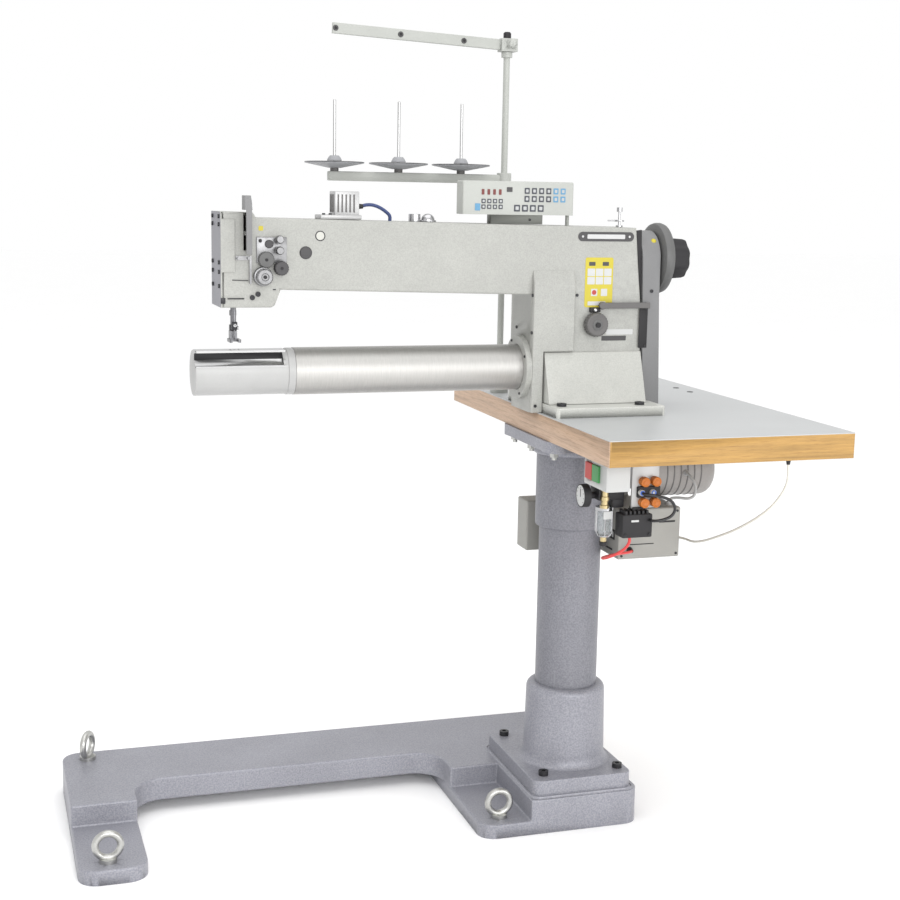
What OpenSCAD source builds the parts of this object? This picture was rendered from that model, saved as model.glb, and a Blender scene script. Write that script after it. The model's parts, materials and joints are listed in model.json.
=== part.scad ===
// Long-arm cylinder-bed leather sewing machine on a column stand.
// Axes: +X along the arm towards the handwheel, +Y to the rear, +Z up.
// Origin: on the floor, on the axis of the column.

/* [Stand] */
// Left end of the cast base
base_left = -1052; // [-1100:1:-950]
// Right end of the cast base
base_right = 122; // [115:1:140]
// Front of the feet
foot_front = -144; // [-160:1:-143]
// Front of the rear beam
beam_front = 183; // [175:1:190]
// Back of the rear beam
beam_back = 382; // [370:1:395]
// Height of the beam and of the column block
beam_h = 76; // [70:1:78]
// Height of the low feet
foot_h = 30; // [26:1:36]
// Radius of the fixed lower column
column_r = 66.7; // [60:0.1:68]
// Radius of the sliding upper sleeve
sleeve_r = 76; // [74:1:78]
// Height of the bottom end of the sleeve
sleeve_z = 632; // [600:1:650]

/* [Table] */
// Left edge of the table
table_left = -105; // [-110:1:-98]
// Right edge of the table
table_right = 412; // [400:1:460]
// Front edge of the table
table_front = -430; // [-460:1:-420]
// Back edge of the table
table_back = 505; // [480:1:540]
// Height of the working surface
table_z = 885; // [885:1:886]
// Thickness of the board with its laminate
table_t = 50; // [48:1:51]

/* [Head] */
// Half depth of the arm and of the needle head
arm_half = 54; // [52:1:56]
// Left end of the needle head
head_left = -757; // [-760:1:-756]
// Distance of the needle from the column axis
needle_x = -722; // [-723:1:-721]
// Height of the main shaft
shaft_z = 1200; // [1198:1:1202]
// Radius of the main shaft
shaft_r = 9; // [8:0.5:10]
// Radius of the handwheel
wheel_r = 74; // [70:1:76]

/* [Cylinder bed] */
// Height of the bed axis
bed_z = 974; // [973:1:975]
// Radius of the bed tube
bed_r = 47; // [46:0.5:48]
// Radius of the hook housing
cap_r = 45; // [44.5:0.5:45.5]
// Left end of the bed
bed_left = -804; // [-806:1:-803]

/* [Thread stand] */
// Rod position to the right of the column axis
rod_x = -76; // [-77:1:-74]
// Rod position behind the column axis
rod_y = 262; // [250:1:280]
// Top of the rod
rod_top = 1665; // [1663:1:1675]
// Distance between two spool pins
pin_pitch = 142; // [136:1:146]
// Radius of a spool plate
plate_r = 64; // [56:1:66]

/* [Hidden] */
$fn = 64;

run_gap = 0.05;             // radial gap of a shaft or slide in its bore
clear = 0.4;                // gap between parts that move past each other
grip_r = 46;                // grip cap on the end of the handwheel
grip_end = 241;
belt_lap = 0.05;            // depth of a belt's straight runs inside the tangent line
v_belt_h = 6.4;             // height of the V-belt above the bottom of its groove
timing_belt_h = 3;          // the same for the timing belt
clamp_bolt_zs = [660, 710]; // heights of the bolts that clamp the sleeve
clamp_head_r = 9;

left_leg_right = base_left + 135;
right_foot_left = -235;
block_left = -126;
riser_y = 76;               // where the low feet rise to the beam
fillet_r = 68;
beam_lift = 26;             // clearance under the middle of the beam
pad_top = beam_h + 4;
foot_bolt_spots = [[-85, -100], [85, -100], [-85, 148], [85, 148]];
eye_spots = [[-993, -103, foot_h, 0], [-998, 335, beam_h, 62],
             [-185, -103, foot_h, 0], [80, 335, beam_h, 90]];
column_top = 800;
sleeve_top = 808;
flange_z = 812;
board_bottom = table_z - table_t;
laminate_t = 1.6;
flange_bolt_spots = [[-92, 105], [-98, -12], [-92, -126], [92, 105], [98, -12], [92, -126]];

plinth_left = -97;
plinth_top = table_z + 20;
plinth_right = 142;
plinth_half = 148;
plinth_bolt_spots = [[-74, -113], [96, -119], [-68, 112], [108, 112]];
pillar_left = -122;
pillar_back = 70;
head_bottom = 1104;
head_top = 1286;
arm_left_top = 1275;        // arm top beside the head
arm_right_top = 1264;       // arm top at the right end
arm_right = 105;
slot_x = needle_x + 12.5;   // middle of the take-up slot
presser_y = 16;             // presser bar behind the needle bar
cover_front = -arm_half - 12;
seam_z = 1010;              // seam between the arm casting and the lower front cover

tube_left = -607;
ring_left = -622;
throat_z = bed_z + 44;      // top of the throat plate
hook_r = 26;

belt_x = 146;               // plane of the motor belt
wheel_groove_r = 45;
motor_groove_r = 33;
motor_z = 745;
guard_r = 58;
timing_x = -68;             // plane of the timing belt
upper_timing_r = 24;
lower_timing_r = 12;

spool_arm_z = 1360;
guide_arm_z = 1648;
guide_half = 11;            // half height of the guide bar
guide_tilt = 2.7;            // the guide arm rises towards its tip
pin_xs = [for (i = [1:3]) rod_x - 101 - (3 - i) * pin_pitch];

white_points = [[285, -400, 835], [285, -400, 822], [290, -394, 800], [293, -384, 778],
                [291, -368, 754], [284, -350, 730], [274, -328, 708], [262, -296, 684],
                [250, -256, 660], [241, -214, 640], [236, -170, 622], [237, -130, 610],
                [241, -96, 603], [240, -70, 602], [233, -52, 602], [221, -50, 602]];
grey_points = [[240, -58, 745], [240, -68, 745], [243, -79, 738], [248, -86, 726],
               [250, -88, 712], [246, -86, 699], [236, -80, 693], [222, -68, 693],
               [210, -59, 691], [204, -56, 685], [204, -56, 676]];
hose_points = [[26, -300, 757], [26, -309, 757], [37, -317, 756], [54, -320, 753],
               [72, -321, 747], [84, -320, 737], [87, -320, 724], [80, -320, 713],
               [66, -319, 707], [53, -316, 704], [44, -309, 703], [44, -300, 703]];
red_points = [[8, -285, 668], [8, -285, 656], [2, -278, 642], [-8, -266, 630],
              [-16, -246, 619], [-16, -220, 610], [-6, -190, 603], [14, -160, 597],
              [42, -130, 592], [70, -110, 589], [92, -101, 588], [104, -92, 588], [104, -80, 588]];
solenoid_points = [[-478, 0, 1299], [-470, 0, 1299], [-458, 0, 1302], [-445, 0, 1302],
                   [-432, 0, 1298], [-420, 0, 1291], [-410, 0, 1282], [-409, 0, 1271.3]];

// Height of the sloping top of the arm at x.
function arm_top(x) = arm_left_top + (arm_right_top - arm_left_top) * (x + 686) / (arm_right + 686);

function unit(v) = v / norm(v);

// Direction of a route at point i.
function heading(p, i) = unit(p[min(i + 1, len(p) - 1)] - p[max(i - 1, 0)]);

// Sideways direction that is square to a heading.
function side(d) = unit(cross(d, [1, 1, 1]));

// A round tube swept along a route, as one closed polyhedron.
module swept_cord(p, d, sides = 8) {
    n = len(p);
    pts = [for (i = [0:n - 1])
           let (h = heading(p, i), s = side(h), u = cross(h, s))
           for (j = [0:sides - 1]) p[i] + d / 2 * (s * cos(360 * j / sides) + u * sin(360 * j / sides))];
    walls = [for (i = [0:n - 2], j = [0:sides - 1], half = [0, 1])
             half == 0
             ? [i * sides + j, i * sides + (j + 1) % sides, (i + 1) * sides + (j + 1) % sides]
             : [i * sides + j, (i + 1) * sides + (j + 1) % sides, (i + 1) * sides + j]];
    start = [[for (j = [sides - 1:-1:0]) j]];
    finish = [[for (j = [0:sides - 1]) (n - 1) * sides + j]];
    polyhedron(points = pts, faces = concat(walls, start, finish), convexity = 6);
}

// Rectangle with round corners, true arcs.
module round_rect(x0, y0, x1, y1, r) {
    union() {
        translate([x0 + r, y0]) square([x1 - x0 - 2 * r, y1 - y0]);
        translate([x0, y0 + r]) square([x1 - x0, y1 - y0 - 2 * r]);
        for (x = [x0 + r, x1 - r], y = [y0 + r, y1 - r]) {
            translate([x, y]) circle(r);
        }
    }
}

// Flat plate with round corners between two heights.
module slab(x0, y0, x1, y1, r, z0, z1) {
    translate([0, 0, z0]) linear_extrude(z1 - z0) round_rect(x0, y0, x1, y1, r);
}

// Box from its low corner to its high corner.
module block(a, b) {
    translate(a) cube(b - a);
}

// Round bar along X, through height z and depth y.
module bar_x(x0, x1, y, z, r) {
    translate([x0, y, z]) rotate([0, 90, 0]) cylinder(h = x1 - x0, r = r);
}

// Round bar along Y.
module bar_y(x, y0, y1, z, r) {
    translate([x, y1, z]) rotate([90, 0, 0]) cylinder(h = y1 - y0, r = r);
}

// Round bar along Z.
module bar_z(x, y, z0, z1, r) {
    translate([x, y, z0]) cylinder(h = z1 - z0, r = r);
}

// Outline in XZ made solid between two depths.
module extrude_y(y0, y1) {
    translate([0, y1, 0]) rotate([90, 0, 0]) linear_extrude(y1 - y0) children();
}

// Outline in YZ made solid between two x positions.
module extrude_x(x0, x1) {
    translate([x0, 0, 0]) rotate([90, 0, 90]) linear_extrude(x1 - x0) children();
}

// Outline of (x along the axis, radius) turned about a line along X.
module turn_x(z) {
    translate([0, 0, z]) rotate([0, 90, 0]) rotate_extrude() children();
}

// Cap screw standing on a face: shank down, round head up with a hex socket.
module cap_screw(shank_r, shank_l, head_r, head_h) {
    translate([0, 0, -shank_l]) cylinder(h = shank_l, r = shank_r);
    difference() {
        cylinder(h = head_h, r = head_r);
        translate([0, 0, head_h * 0.4]) cylinder(h = head_h, r = head_r * 0.5, $fn = 6);
    }
}

// ---- Stand ----

module base_outline() {
    difference() {
        union() {
            round_rect(base_left, foot_front, left_leg_right, beam_back, 40);
            round_rect(base_left, beam_front, base_right, beam_back, 40);
            round_rect(right_foot_left, foot_front, base_right, beam_back, 34);
            translate([left_leg_right, beam_front - fillet_r]) square(fillet_r + 1);
            translate([right_foot_left - fillet_r, beam_front - fillet_r]) square(fillet_r + 1);
        }
        translate([left_leg_right + fillet_r, beam_front - fillet_r]) circle(fillet_r);
        translate([right_foot_left - fillet_r, beam_front - fillet_r]) circle(fillet_r);
    }
}

module base_casting() {
    color("slategray") difference() {
        union() {
            linear_extrude(beam_h) base_outline();
            slab(-120, -140, 108, 178, 18, beam_h - 1, pad_top);
        }
        block([base_left - 9, foot_front - 9, foot_h], [left_leg_right + 9, riser_y, beam_h + 9]);
        block([right_foot_left - 9, foot_front - 9, foot_h], [block_left, riser_y, beam_h + 9]);
        block([left_leg_right, riser_y, -1], [right_foot_left, beam_back + 9, beam_lift]);
        for (s = eye_spots) {
            bar_z(s[0], s[1], s[2] - 24, s[2] + 1, 8);
        }
        for (s = foot_bolt_spots) {
            bar_z(s[0], s[1], 38, pad_top + 1, 7);
        }
    }
}

module eye_bolt() {
    translate([0, 0, -22]) cylinder(h = 22, r = 8 - run_gap);
    cylinder(h = 8, r = 17.5);
    translate([0, 0, 33]) rotate([90, 0, 0]) rotate_extrude() translate([24.5, 0]) circle(7);
}

module eye_bolts() {
    color("silver") for (s = eye_spots) {
        translate([s[0], s[1], s[2]]) rotate([0, 0, s[3]]) eye_bolt();
    }
}

module column_foot() {
    socket_top = 284;
    shoulder_r = 14;
    color("slategray") difference() {
        union() {
            slab(-118, -134, 106, 172, 20, pad_top, 112);
            rotate_extrude() polygon(concat(
                [[55, 111], [101, 111]],
                [for (t = [0:15:90]) [88 + 13 * (1 - sin(t)), 112 + 22 * (1 - cos(t))]],
                [for (t = [0:15:90]) [71 + shoulder_r * cos(t), socket_top - shoulder_r * (1 - sin(t))]],
                [[55, socket_top]]));
        }
        bar_z(0, 0, pad_top - 1, socket_top + 1, column_r + run_gap);
        for (s = foot_bolt_spots) {
            bar_z(s[0], s[1], pad_top - 1, 113, 7.2);
        }
    }
}

module foot_bolts() {
    color("dimgray") for (s = foot_bolt_spots) {
        translate([s[0], s[1], 112]) cap_screw(6.9, 66, 10.5, 10);
    }
}

module lower_column() {
    color("slategray") difference() {
        bar_z(0, 0, pad_top, column_top, column_r);
        bar_z(0, 0, pad_top - 1, column_top + 1, column_r - 9);
    }
}

module upper_sleeve() {
    color("slategray") difference() {
        rotate_extrude() polygon([[0, sleeve_z], [sleeve_r - 3, sleeve_z], [sleeve_r, sleeve_z + 3],
                                  [sleeve_r, sleeve_top], [0, sleeve_top]]);
        bar_z(0, 0, sleeve_z - 1, column_top + 3, column_r + run_gap);
        for (z = clamp_bolt_zs) {
            bar_y(0, 60, sleeve_r + 1, z, 5.05);
        }
    }
}

module table_flange() {
    color("slategray") difference() {
        union() {
            slab(-111, -150, 111, 150, 34, flange_z, board_bottom);
            rotate_extrude() polygon([[0, 790], [82, 790], [85, 793], [85, flange_z + 1], [0, flange_z + 1]]);
        }
        bar_z(0, 0, 789, sleeve_top, sleeve_r + run_gap);
        for (s = flange_bolt_spots) {
            bar_z(s[0], s[1], flange_z - 1, board_bottom + 1, 5.2);
        }
    }
}

module flange_bolts() {
    color("silver") {
        for (s = flange_bolt_spots) {
            bar_z(s[0], s[1], 797, board_bottom - 0.2, 5);
            translate([s[0], s[1], 803]) cylinder(h = flange_z - 803, r = 9.5, $fn = 6);
        }
        for (z = clamp_bolt_zs) {
            bar_y(0, column_r + clear, sleeve_r + 10, z, 5);
            bar_y(0, sleeve_r + 8, sleeve_r + 18, z, clamp_head_r);
        }
    }
}

// ---- Table ----

module belt_slot() {
    block([133, -56, 800], [161, 56, 900]);
}

module table_board() {
    color("goldenrod") difference() {
        slab(table_left, table_front, table_right, table_back, 4, board_bottom, table_z - laminate_t);
        belt_slot();
    }
}

module table_laminate() {
    color("gainsboro") difference() {
        slab(table_left, table_front, table_right, table_back, 4, table_z - laminate_t, table_z);
        belt_slot();
    }
}

// ---- Machine body ----

module bed_plinth() {
    color("lightgray") difference() {
        slab(plinth_left, -plinth_half, plinth_right, plinth_half, 7, table_z, plinth_top);
        block([128, -60, table_z - 1], [167, 60, plinth_top + 1]);
    }
}

module arm_outline() {
    polygon([[head_left + 5, head_bottom], [head_left + 5, head_top], [-694, head_top - 1],
             [-688, arm_left_top], [arm_right, arm_right_top], [112, 1190], [120, 1116],
             [124, seam_z], [124, plinth_top], [plinth_left - 0.5, plinth_top],
             [plinth_left - 0.5, table_z], [pillar_left, table_z], [pillar_left, 1127],
             [-641, 1138], [-648, 1120], [-652, 1109], [-659, head_bottom]]);
}

module pillar_outline() {
    polygon([[pillar_left, plinth_top], [124, plinth_top], [124, seam_z], [120, 1116],
             [112, 1190], [arm_right, arm_right_top], [pillar_left, arm_top(pillar_left)]]);
}

module arm_cavity() {
    extrude_y(10 - arm_half, arm_half - 10) polygon(
        [[head_left - 3, 1121], [-665, 1121], [-653, 1149], [pillar_left + 14, 1138],
         [pillar_left + 14, plinth_top + 10], [112, plinth_top + 10], [100, 1180],
         [95, arm_right_top - 10], [-696, arm_left_top - 10], [-700, head_top - 10],
         [head_left - 3, head_top - 10]]);
}

// Bearing webs left standing in the cavity.
module arm_webs() {
    for (x = [-700, -540, -320]) {
        block([x, -60, 1100], [x + 8, 60, 1290]);
    }
    block([-48, -60, 900], [-40, 60, 1020]);
}

module arm_casting() {
    color("lightgray") difference() {
        union() {
            extrude_y(-arm_half, arm_half) arm_outline();
            extrude_y(arm_half - 1, pillar_back) pillar_outline();
        }
        difference() {
            arm_cavity();
            arm_webs();
        }
        extrude_y(arm_half - 11, pillar_back - 10) polygon(
            [[pillar_left + 12, plinth_top + 10], [110, plinth_top + 10],
             [98, 1180], [94, 1250], [pillar_left + 12, 1250]]);
        bar_x(-710, 130, 0, shaft_z, shaft_r + run_gap);
        bar_x(pillar_left - 1, -30, 0, bed_z, 8 + run_gap);
        bar_x(-710, -680, -8, 1246, 4 + run_gap);
        block([slot_x - 3, -60, 1213], [slot_x + 3, -40, 1285]);
        block([needle_x - 16, -14, 1100], [needle_x + 22, 28, 1125]);
        block([-102, -60, 1030], [-44, -40, 1132]);
        block([-80, -60, plinth_top + 14], [112, -40, 996]);
        bar_y(16, -60, -40, 1066, 5 + run_gap);
        bar_y(30, -60, -40, 1105, 4 + run_gap);
    }
}

module drive_cover() {
    color("lightgray") {
        extrude_x(pillar_left, -31) polygon([[-arm_half - 0.1, 1178], [-arm_half - 0.1, seam_z + 1],
                                             [cover_front, seam_z + 1], [cover_front, 1150]]);
        block([pillar_left, cover_front, table_z], [plinth_left - 0.5, -arm_half - 0.1, seam_z + 1]);
    }
}

module front_cover() {
    color("lightgray") difference() {
        extrude_x(-94, 122) polygon([[-arm_half - 0.1, seam_z - 1], [-arm_half - 5, seam_z - 1],
                                     [-96, plinth_top + 0.5], [-arm_half - 0.1, plinth_top + 0.5]]);
        extrude_x(-90, 118) polygon([[-arm_half + 1, seam_z - 18], [-arm_half - 7, seam_z - 18],
                                     [-88, plinth_top + 6], [-arm_half + 1, plinth_top + 6]]);
    }
}

module face_plate() {
    color("lightgray") {
        block([head_left, -arm_half, head_bottom], [head_left + 5, arm_half, head_top]);
        block([head_left, -arm_half - 2.5, 1172], [-729, -arm_half - 0.2, 1272]);
        block([head_left, -arm_half - 2.5, 1172], [head_left + 4.8, -arm_half + 1, 1272]);
    }
}

module bar_bushings() {
    color("silver") difference() {
        union() {
            block([needle_x - 16, -14, 1102], [needle_x + 22, 28, 1121]);
            block([needle_x - 11, -9, 1226], [needle_x + 9.5, 27, head_top - 10]);
        }
        bar_z(needle_x, 0, 1100, 1280, 3.6 + run_gap);
        bar_z(needle_x, presser_y, 1100, 1280, 5 + run_gap);
    }
}

// Small screw heads on the covers and the larger heads on the plinth.
module cover_screws() {
    color("dimgray") {
        for (z = [1145, 1172, 1190, 1262, 1277], y = [-44, 32]) {
            bar_x(head_left - 3, head_left - 0.1, y, z, 4);
        }
        for (spot = [[-60, 1126], [-60, 1050], [30, 1054]]) {
            bar_x(pillar_left - 2.5, pillar_left - 0.1, spot[0], spot[1], 3.2);
        }
        bar_y(-24, -arm_half - 2.5, -arm_half - 0.1, 1126, 3.2);
        bar_y(-114, cover_front - 2.5, cover_front - 0.1, 900, 3.2);
        for (s = plinth_bolt_spots) {
            translate([s[0], s[1], plinth_top + 0.1]) cap_screw(3, 0.05, 10, 6);
        }
        for (a = [45:90:315]) {
            bar_x(pillar_left - 14, pillar_left - 12.1, 59 * cos(a + 18), bed_z + 59 * sin(a + 18), 2.6);
        }
    }
}

// ---- Cylinder bed ----

module bed_flange() {
    color("lightgray") difference() {
        bar_x(pillar_left - 12, pillar_left, 0, bed_z, 66);
        bar_x(pillar_left - 13, pillar_left + 1, 0, bed_z, bed_r + run_gap);
    }
}

module bed_tube() {
    color("silver") difference() {
        bar_x(tube_left, pillar_left, 0, bed_z, bed_r);
        bar_x(tube_left - 1, -596, 0, bed_z, bed_r - 5);
        bar_x(-576, -360, 0, bed_z, bed_r - 5);
        bar_x(-340, pillar_left + 1, 0, bed_z, bed_r - 5);
        bar_x(tube_left - 1, pillar_left + 1, 0, bed_z, 8 + run_gap);
    }
}

module hook_housing() {
    color("whitesmoke") difference() {
        union() {
            bar_x(bed_left, ring_left, 0, bed_z, cap_r);
            bar_x(ring_left, tube_left, 0, bed_z, bed_r - 0.5);
        }
        bar_x(bed_left + 6, -700, 0, bed_z, hook_r + 3);
        bar_x(-701, tube_left + 1, 0, bed_z, 16);
        block([bed_left + 4, -30, throat_z - 4], [ring_left - 2, 30, throat_z + 9]);
        extrude_x(bed_left - 1, -632) polygon([[-20, throat_z - 3], [-20, throat_z - 17],
                                               [-38, throat_z - 27], [-60, throat_z - 27], [-60, throat_z - 3]]);
        block([-748, -12, bed_z + 10], [-706, 12, throat_z - 3]);
    }
}

module throat_plate() {
    color("silver") difference() {
        block([bed_left + 4.5, -20, throat_z - 4], [ring_left - 2.5, 20, throat_z]);
        bar_z(needle_x, 0, throat_z - 5, throat_z + 1, 2.5);
        for (dx = [-9, 7]) {
            block([needle_x + dx, -10, throat_z - 5], [needle_x + dx + 2, 10, throat_z + 1]);
        }
    }
}

// ---- Drive ----

// Closed loop around two wheels in line in Z. Its straight runs lie belt_lap inside the
// tangent line, so that each one crosses its arcs cleanly where it would only touch them.
module belt_loop(z0, r0, z1, r1) {
    t = asin((r0 - r1) / (z0 - z1));
    q0 = r0 - belt_lap;
    q1 = r1 - belt_lap;
    translate([0, z0]) circle(r0);
    translate([0, z1]) circle(r1);
    polygon([[q0 * cos(t), z0 + q0 * sin(t)], [q1 * cos(t), z1 + q1 * sin(t)],
             [-q1 * cos(t), z1 + q1 * sin(t)], [-q0 * cos(t), z0 + q0 * sin(t)]]);
}

module guard_profile(inset) {
    union() {
        translate([0, shaft_z]) circle(guard_r - inset);
        translate([inset - guard_r, table_z - 1]) square([2 * (guard_r - inset), shaft_z - table_z + 1]);
    }
}

module guard_side(inset) {
    polygon([[118 + inset, shaft_z + 62], [160.5 - inset, shaft_z + 62], [160.5 - inset, shaft_z - 80],
             [169 - inset, table_z - 2], [130 + inset, table_z - 2]]);
}

module belt_guard() {
    color("gray") difference() {
        intersection() {
            extrude_x(110, 180) guard_profile(0);
            extrude_y(-70, 70) guard_side(0);
            block([100, -80, table_z], [190, 80, 1300]);
        }
        intersection() {
            extrude_x(110, 180) guard_profile(2.5);
            extrude_y(-70, 70) guard_side(2.5);
        }
        bar_x(100, 140, 0, shaft_z, shaft_r + 3);
        bar_x(150, 190, 0, shaft_z, 24);
    }
}

module v_belt() {
    color("dimgray") extrude_x(belt_x - 5.5, belt_x + 5.5) difference() {
        belt_loop(shaft_z, wheel_groove_r + v_belt_h, motor_z, motor_groove_r + v_belt_h);
        belt_loop(shaft_z, wheel_groove_r + clear, motor_z, motor_groove_r + clear);
    }
}

module timing_belt() {
    color("dimgray") extrude_x(timing_x - 7, timing_x + 7) difference() {
        belt_loop(shaft_z, upper_timing_r + timing_belt_h, bed_z, lower_timing_r + timing_belt_h);
        belt_loop(shaft_z, upper_timing_r + clear, bed_z, lower_timing_r + clear);
    }
}

// Wheel with two flanges and a flat groove for a belt, centred on x = 0.
module belt_wheel(groove_r, flange_r, half_w, bore_r) {
    difference() {
        union() {
            rotate([0, 90, 0]) cylinder(h = 2 * half_w + 6, r = groove_r, center = true);
            for (s = [-1, 1]) {
                translate([s * (half_w + 1.5), 0, 0]) rotate([0, 90, 0]) cylinder(h = 3, r = flange_r, center = true);
            }
        }
        rotate([0, 90, 0]) cylinder(h = 99, r = bore_r, center = true);
    }
}

module upper_shaft() {
    color("silver") {
        bar_x(-706, 200, 0, shaft_z, shaft_r);
        bar_x(-714, -705, 0, shaft_z, 24);
        translate([timing_x, 0, shaft_z]) belt_wheel(upper_timing_r, upper_timing_r + 4, 7.3, shaft_r - 1);
    }
}

module lower_shaft() {
    color("silver") {
        bar_x(-700, -36, 0, bed_z, 8);
        translate([timing_x, 0, bed_z]) belt_wheel(lower_timing_r, lower_timing_r + 4, 7.3, 7);
    }
}

module rotary_hook() {
    color("silver") difference() {
        union() {
            bar_x(-740, -709, 0, bed_z, hook_r);
            bar_x(-710, -690, 0, bed_z, 13);
        }
        difference() {
            bar_x(-741, -715, 0, bed_z, 22);
            bar_x(-740, -714, 0, bed_z, 3);
        }
        bar_x(-700, -680, 0, bed_z, 8);
        block([-733, 5, bed_z + 14], [-728, 40, bed_z + 40]);
    }
}

module bobbin() {
    color("gold") difference() {
        union() {
            bar_x(-737, -735, 0, bed_z, 20.5);
            bar_x(-719, -717, 0, bed_z, 20.5);
            bar_x(-736, -718, 0, bed_z, 7);
        }
        bar_x(-750, -700, 0, bed_z, 3 + run_gap);
    }
}

module handwheel() {
    color("gray") difference() {
        union() {
            turn_x(shaft_z) polygon([[0, 164], [wheel_r - 5, 164], [wheel_r, 169], [wheel_r, 186],
                                     [wheel_r - 5, 191], [58, 191], [56, 186], [0, 186]]);
            turn_x(shaft_z) polygon([[0, 185], [grip_r, 185], [grip_r - 3, grip_end - 6],
                                     [grip_r - 9, grip_end], [0, grip_end]]);
            translate([belt_x, 0, shaft_z]) belt_wheel(wheel_groove_r, wheel_groove_r + 8, 5.9, shaft_r);
            bar_x(152, 165, 0, shaft_z, 21);
        }
        bar_x(130, 200, 0, shaft_z, shaft_r);
    }
}

module motor() {
    color("gray") difference() {
        union() {
            turn_x(motor_z) polygon(concat([[0, 165], [54, 165], [58, 169]],
                [for (t = [0:15:90]) [34 + 24 * cos(t), 294 + 24 * sin(t)]], [[0, 318]]));
            block([200, -34, motor_z + 40], [290, 34, board_bottom]);
        }
        bar_x(150, 200, 0, motor_z, 8 + run_gap);
    }
}

module motor_pulley() {
    color("silver") {
        translate([belt_x, 0, motor_z]) belt_wheel(motor_groove_r, motor_groove_r + 8, 5.9, 7);
        bar_x(137, 198, 0, motor_z, 8);
    }
}

module control_box() {
    color("beige") {
        block([78, -80, 567], [221, 60, 676]);
        block([114, 60, 580], [160, 64, board_bottom]);
    }
}

// The strap that holds the box to the sleeve passes below the lower clamp bolt.
module rear_box() {
    strap_top = clamp_bolt_zs[0] - clamp_head_r - 2;
    color("beige") {
        block([-62, 100, 553], [5, 160, 665]);
        difference() {
            block([-25, 60, strap_top - 15], [5, 101, strap_top]);
            bar_z(0, 0, 630, 670, sleeve_r);
        }
    }
}

// ---- Needle head ----

module needle_bar() {
    color("silver") {
        bar_z(needle_x, 0, 1058, 1274, 3.6);
        bar_z(needle_x, 0, 1058, 1072, 5.5);
        bar_y(needle_x, -10, 0, 1066, 2);
        bar_z(needle_x, 0, 1042, 1059, 1.1);
        translate([needle_x, 0, 1036]) cylinder(h = 6.1, r1 = 0.3, r2 = 1.1, $fn = 24);
    }
}

// Presser bar with its forked foot, raised above the throat plate.
module presser_bar() {
    color("silver") {
        bar_z(needle_x, presser_y, 1040, 1262, 5);
        block([needle_x - 7, 9, 1038], [needle_x + 7, 25, 1054]);
        difference() {
            slab(needle_x - 11, -16, needle_x + 11, 22, 3, 1033, 1039);
            block([needle_x - 6, -20, 1030], [needle_x + 6, 8, 1042]);
        }
        bar_z(needle_x, presser_y, 1084, 1094, 7);
    }
}

module take_up_lever() {
    color("silver") difference() {
        union() {
            bar_x(slot_x - 2, -691, -8, 1246, 4);
            bar_x(slot_x - 2, slot_x + 2, -8, 1246, 9);
            extrude_x(slot_x - 2, slot_x + 2) polygon([[-8, 1253], [-8, 1239], [-72, 1242.5], [-72, 1249.5]]);
            bar_x(slot_x - 2, slot_x + 2, -72, 1246, 3.5);
        }
        bar_x(slot_x - 3, slot_x + 3, -71, 1246, 1.6);
    }
}

module take_up_guard() {
    color("dimgray") {
        block([slot_x + 5, -87, 1207], [slot_x + 7, -54.1, 1285]);
        block([slot_x - 3, -87, 1207], [slot_x + 8, -84.5, 1300]);
        extrude_y(-87, -56) polygon([[slot_x - 6, 1290], [slot_x + 9, 1290],
                                     [slot_x + 6, 1317], [slot_x - 6, 1317]]);
    }
}

module tension_plate() {
    color("silver") {
        block([-688, -57, 1190], [-629, -54.1, 1239]);
        bar_y(-681, -59, -56, 1232, 3);
        bar_y(-664, -62, -56, 1226, 8);
        for (z = [1214, 1235]) {
            bar_y(-646, -70, -56, z, 3);
            bar_y(-646, -80, -66, z, 8);
        }
        bar_y(-670, -66, -56, 1196, 16);
        bar_y(-641, -70, -54.1, 1180, 14);
        bar_y(-676, -64, -54.1, 1164, 18.5);
        bar_y(-676, -88, -60, 1164, 3);
    }
}

module tension_nut() {
    color("silver") difference() {
        bar_y(-676, -84, -68, 1164, 16);
        bar_y(-676, -85, -67, 1164, 3 + run_gap);
    }
}

module thread_guides() {
    color("silver") {
        block([-728, -56.5, 1195], [-698, -54.1, 1203]);
        bar_y(-724, -66, -56, 1199, 2.5);
        bar_y(-704, -66, -56, 1199, 2.5);
        block([-702, -60, 1150], [-698, -54.1, 1203]);
    }
}

module stitch_dial() {
    color("gray") {
        bar_y(16, -76, -58, 1066, 25);
        bar_y(16, -80, -75, 1066, 10);
        bar_y(16, -59, -34, 1066, 5);
    }
}

module reverse_lever() {
    color("gray") {
        bar_y(30, -68, -60, 1105, 8);
        bar_y(30, -61, -34, 1105, 4);
        block([30, -68, 1099], [136, -62, 1111]);
    }
}

// ---- Fittings on the arm ----

module solenoid_box() {
    z0 = arm_top(-556);
    color("whitesmoke") {
        block([-556, -28, z0], [-474, 28, z0 + 9]);
        block([-527, -24, z0 + 8], [-478, 24, 1328]);
    }
}

module oil_filler() {
    z0 = arm_top(-372);
    color("silver") {
        bar_z(-358, 0, z0, z0 + 15, 12);
        bar_z(-330, 0, z0, z0 + 3, 17);
        translate([-330, 0, z0 + 2]) rotate_extrude() polygon(concat([[0, 0]],
            [for (t = [0:15:90]) [14 * cos(t), 14 * sin(t)]]));
    }
}

module pretension_post() {
    post_x = 80;
    post_y = -20;
    z0 = arm_top(post_x - 7);
    color("silver") {
        bar_z(post_x, post_y, z0, 1302, 2.5);
        bar_z(post_x, post_y, z0, z0 + 4, 7);
        bar_z(post_x, post_y, 1276, 1279, 10);
        bar_z(post_x, post_y, 1296, 1305, 6);
        bar_x(post_x - 26, post_x - 1, post_y, 1278, 1.5);
    }
}

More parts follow.
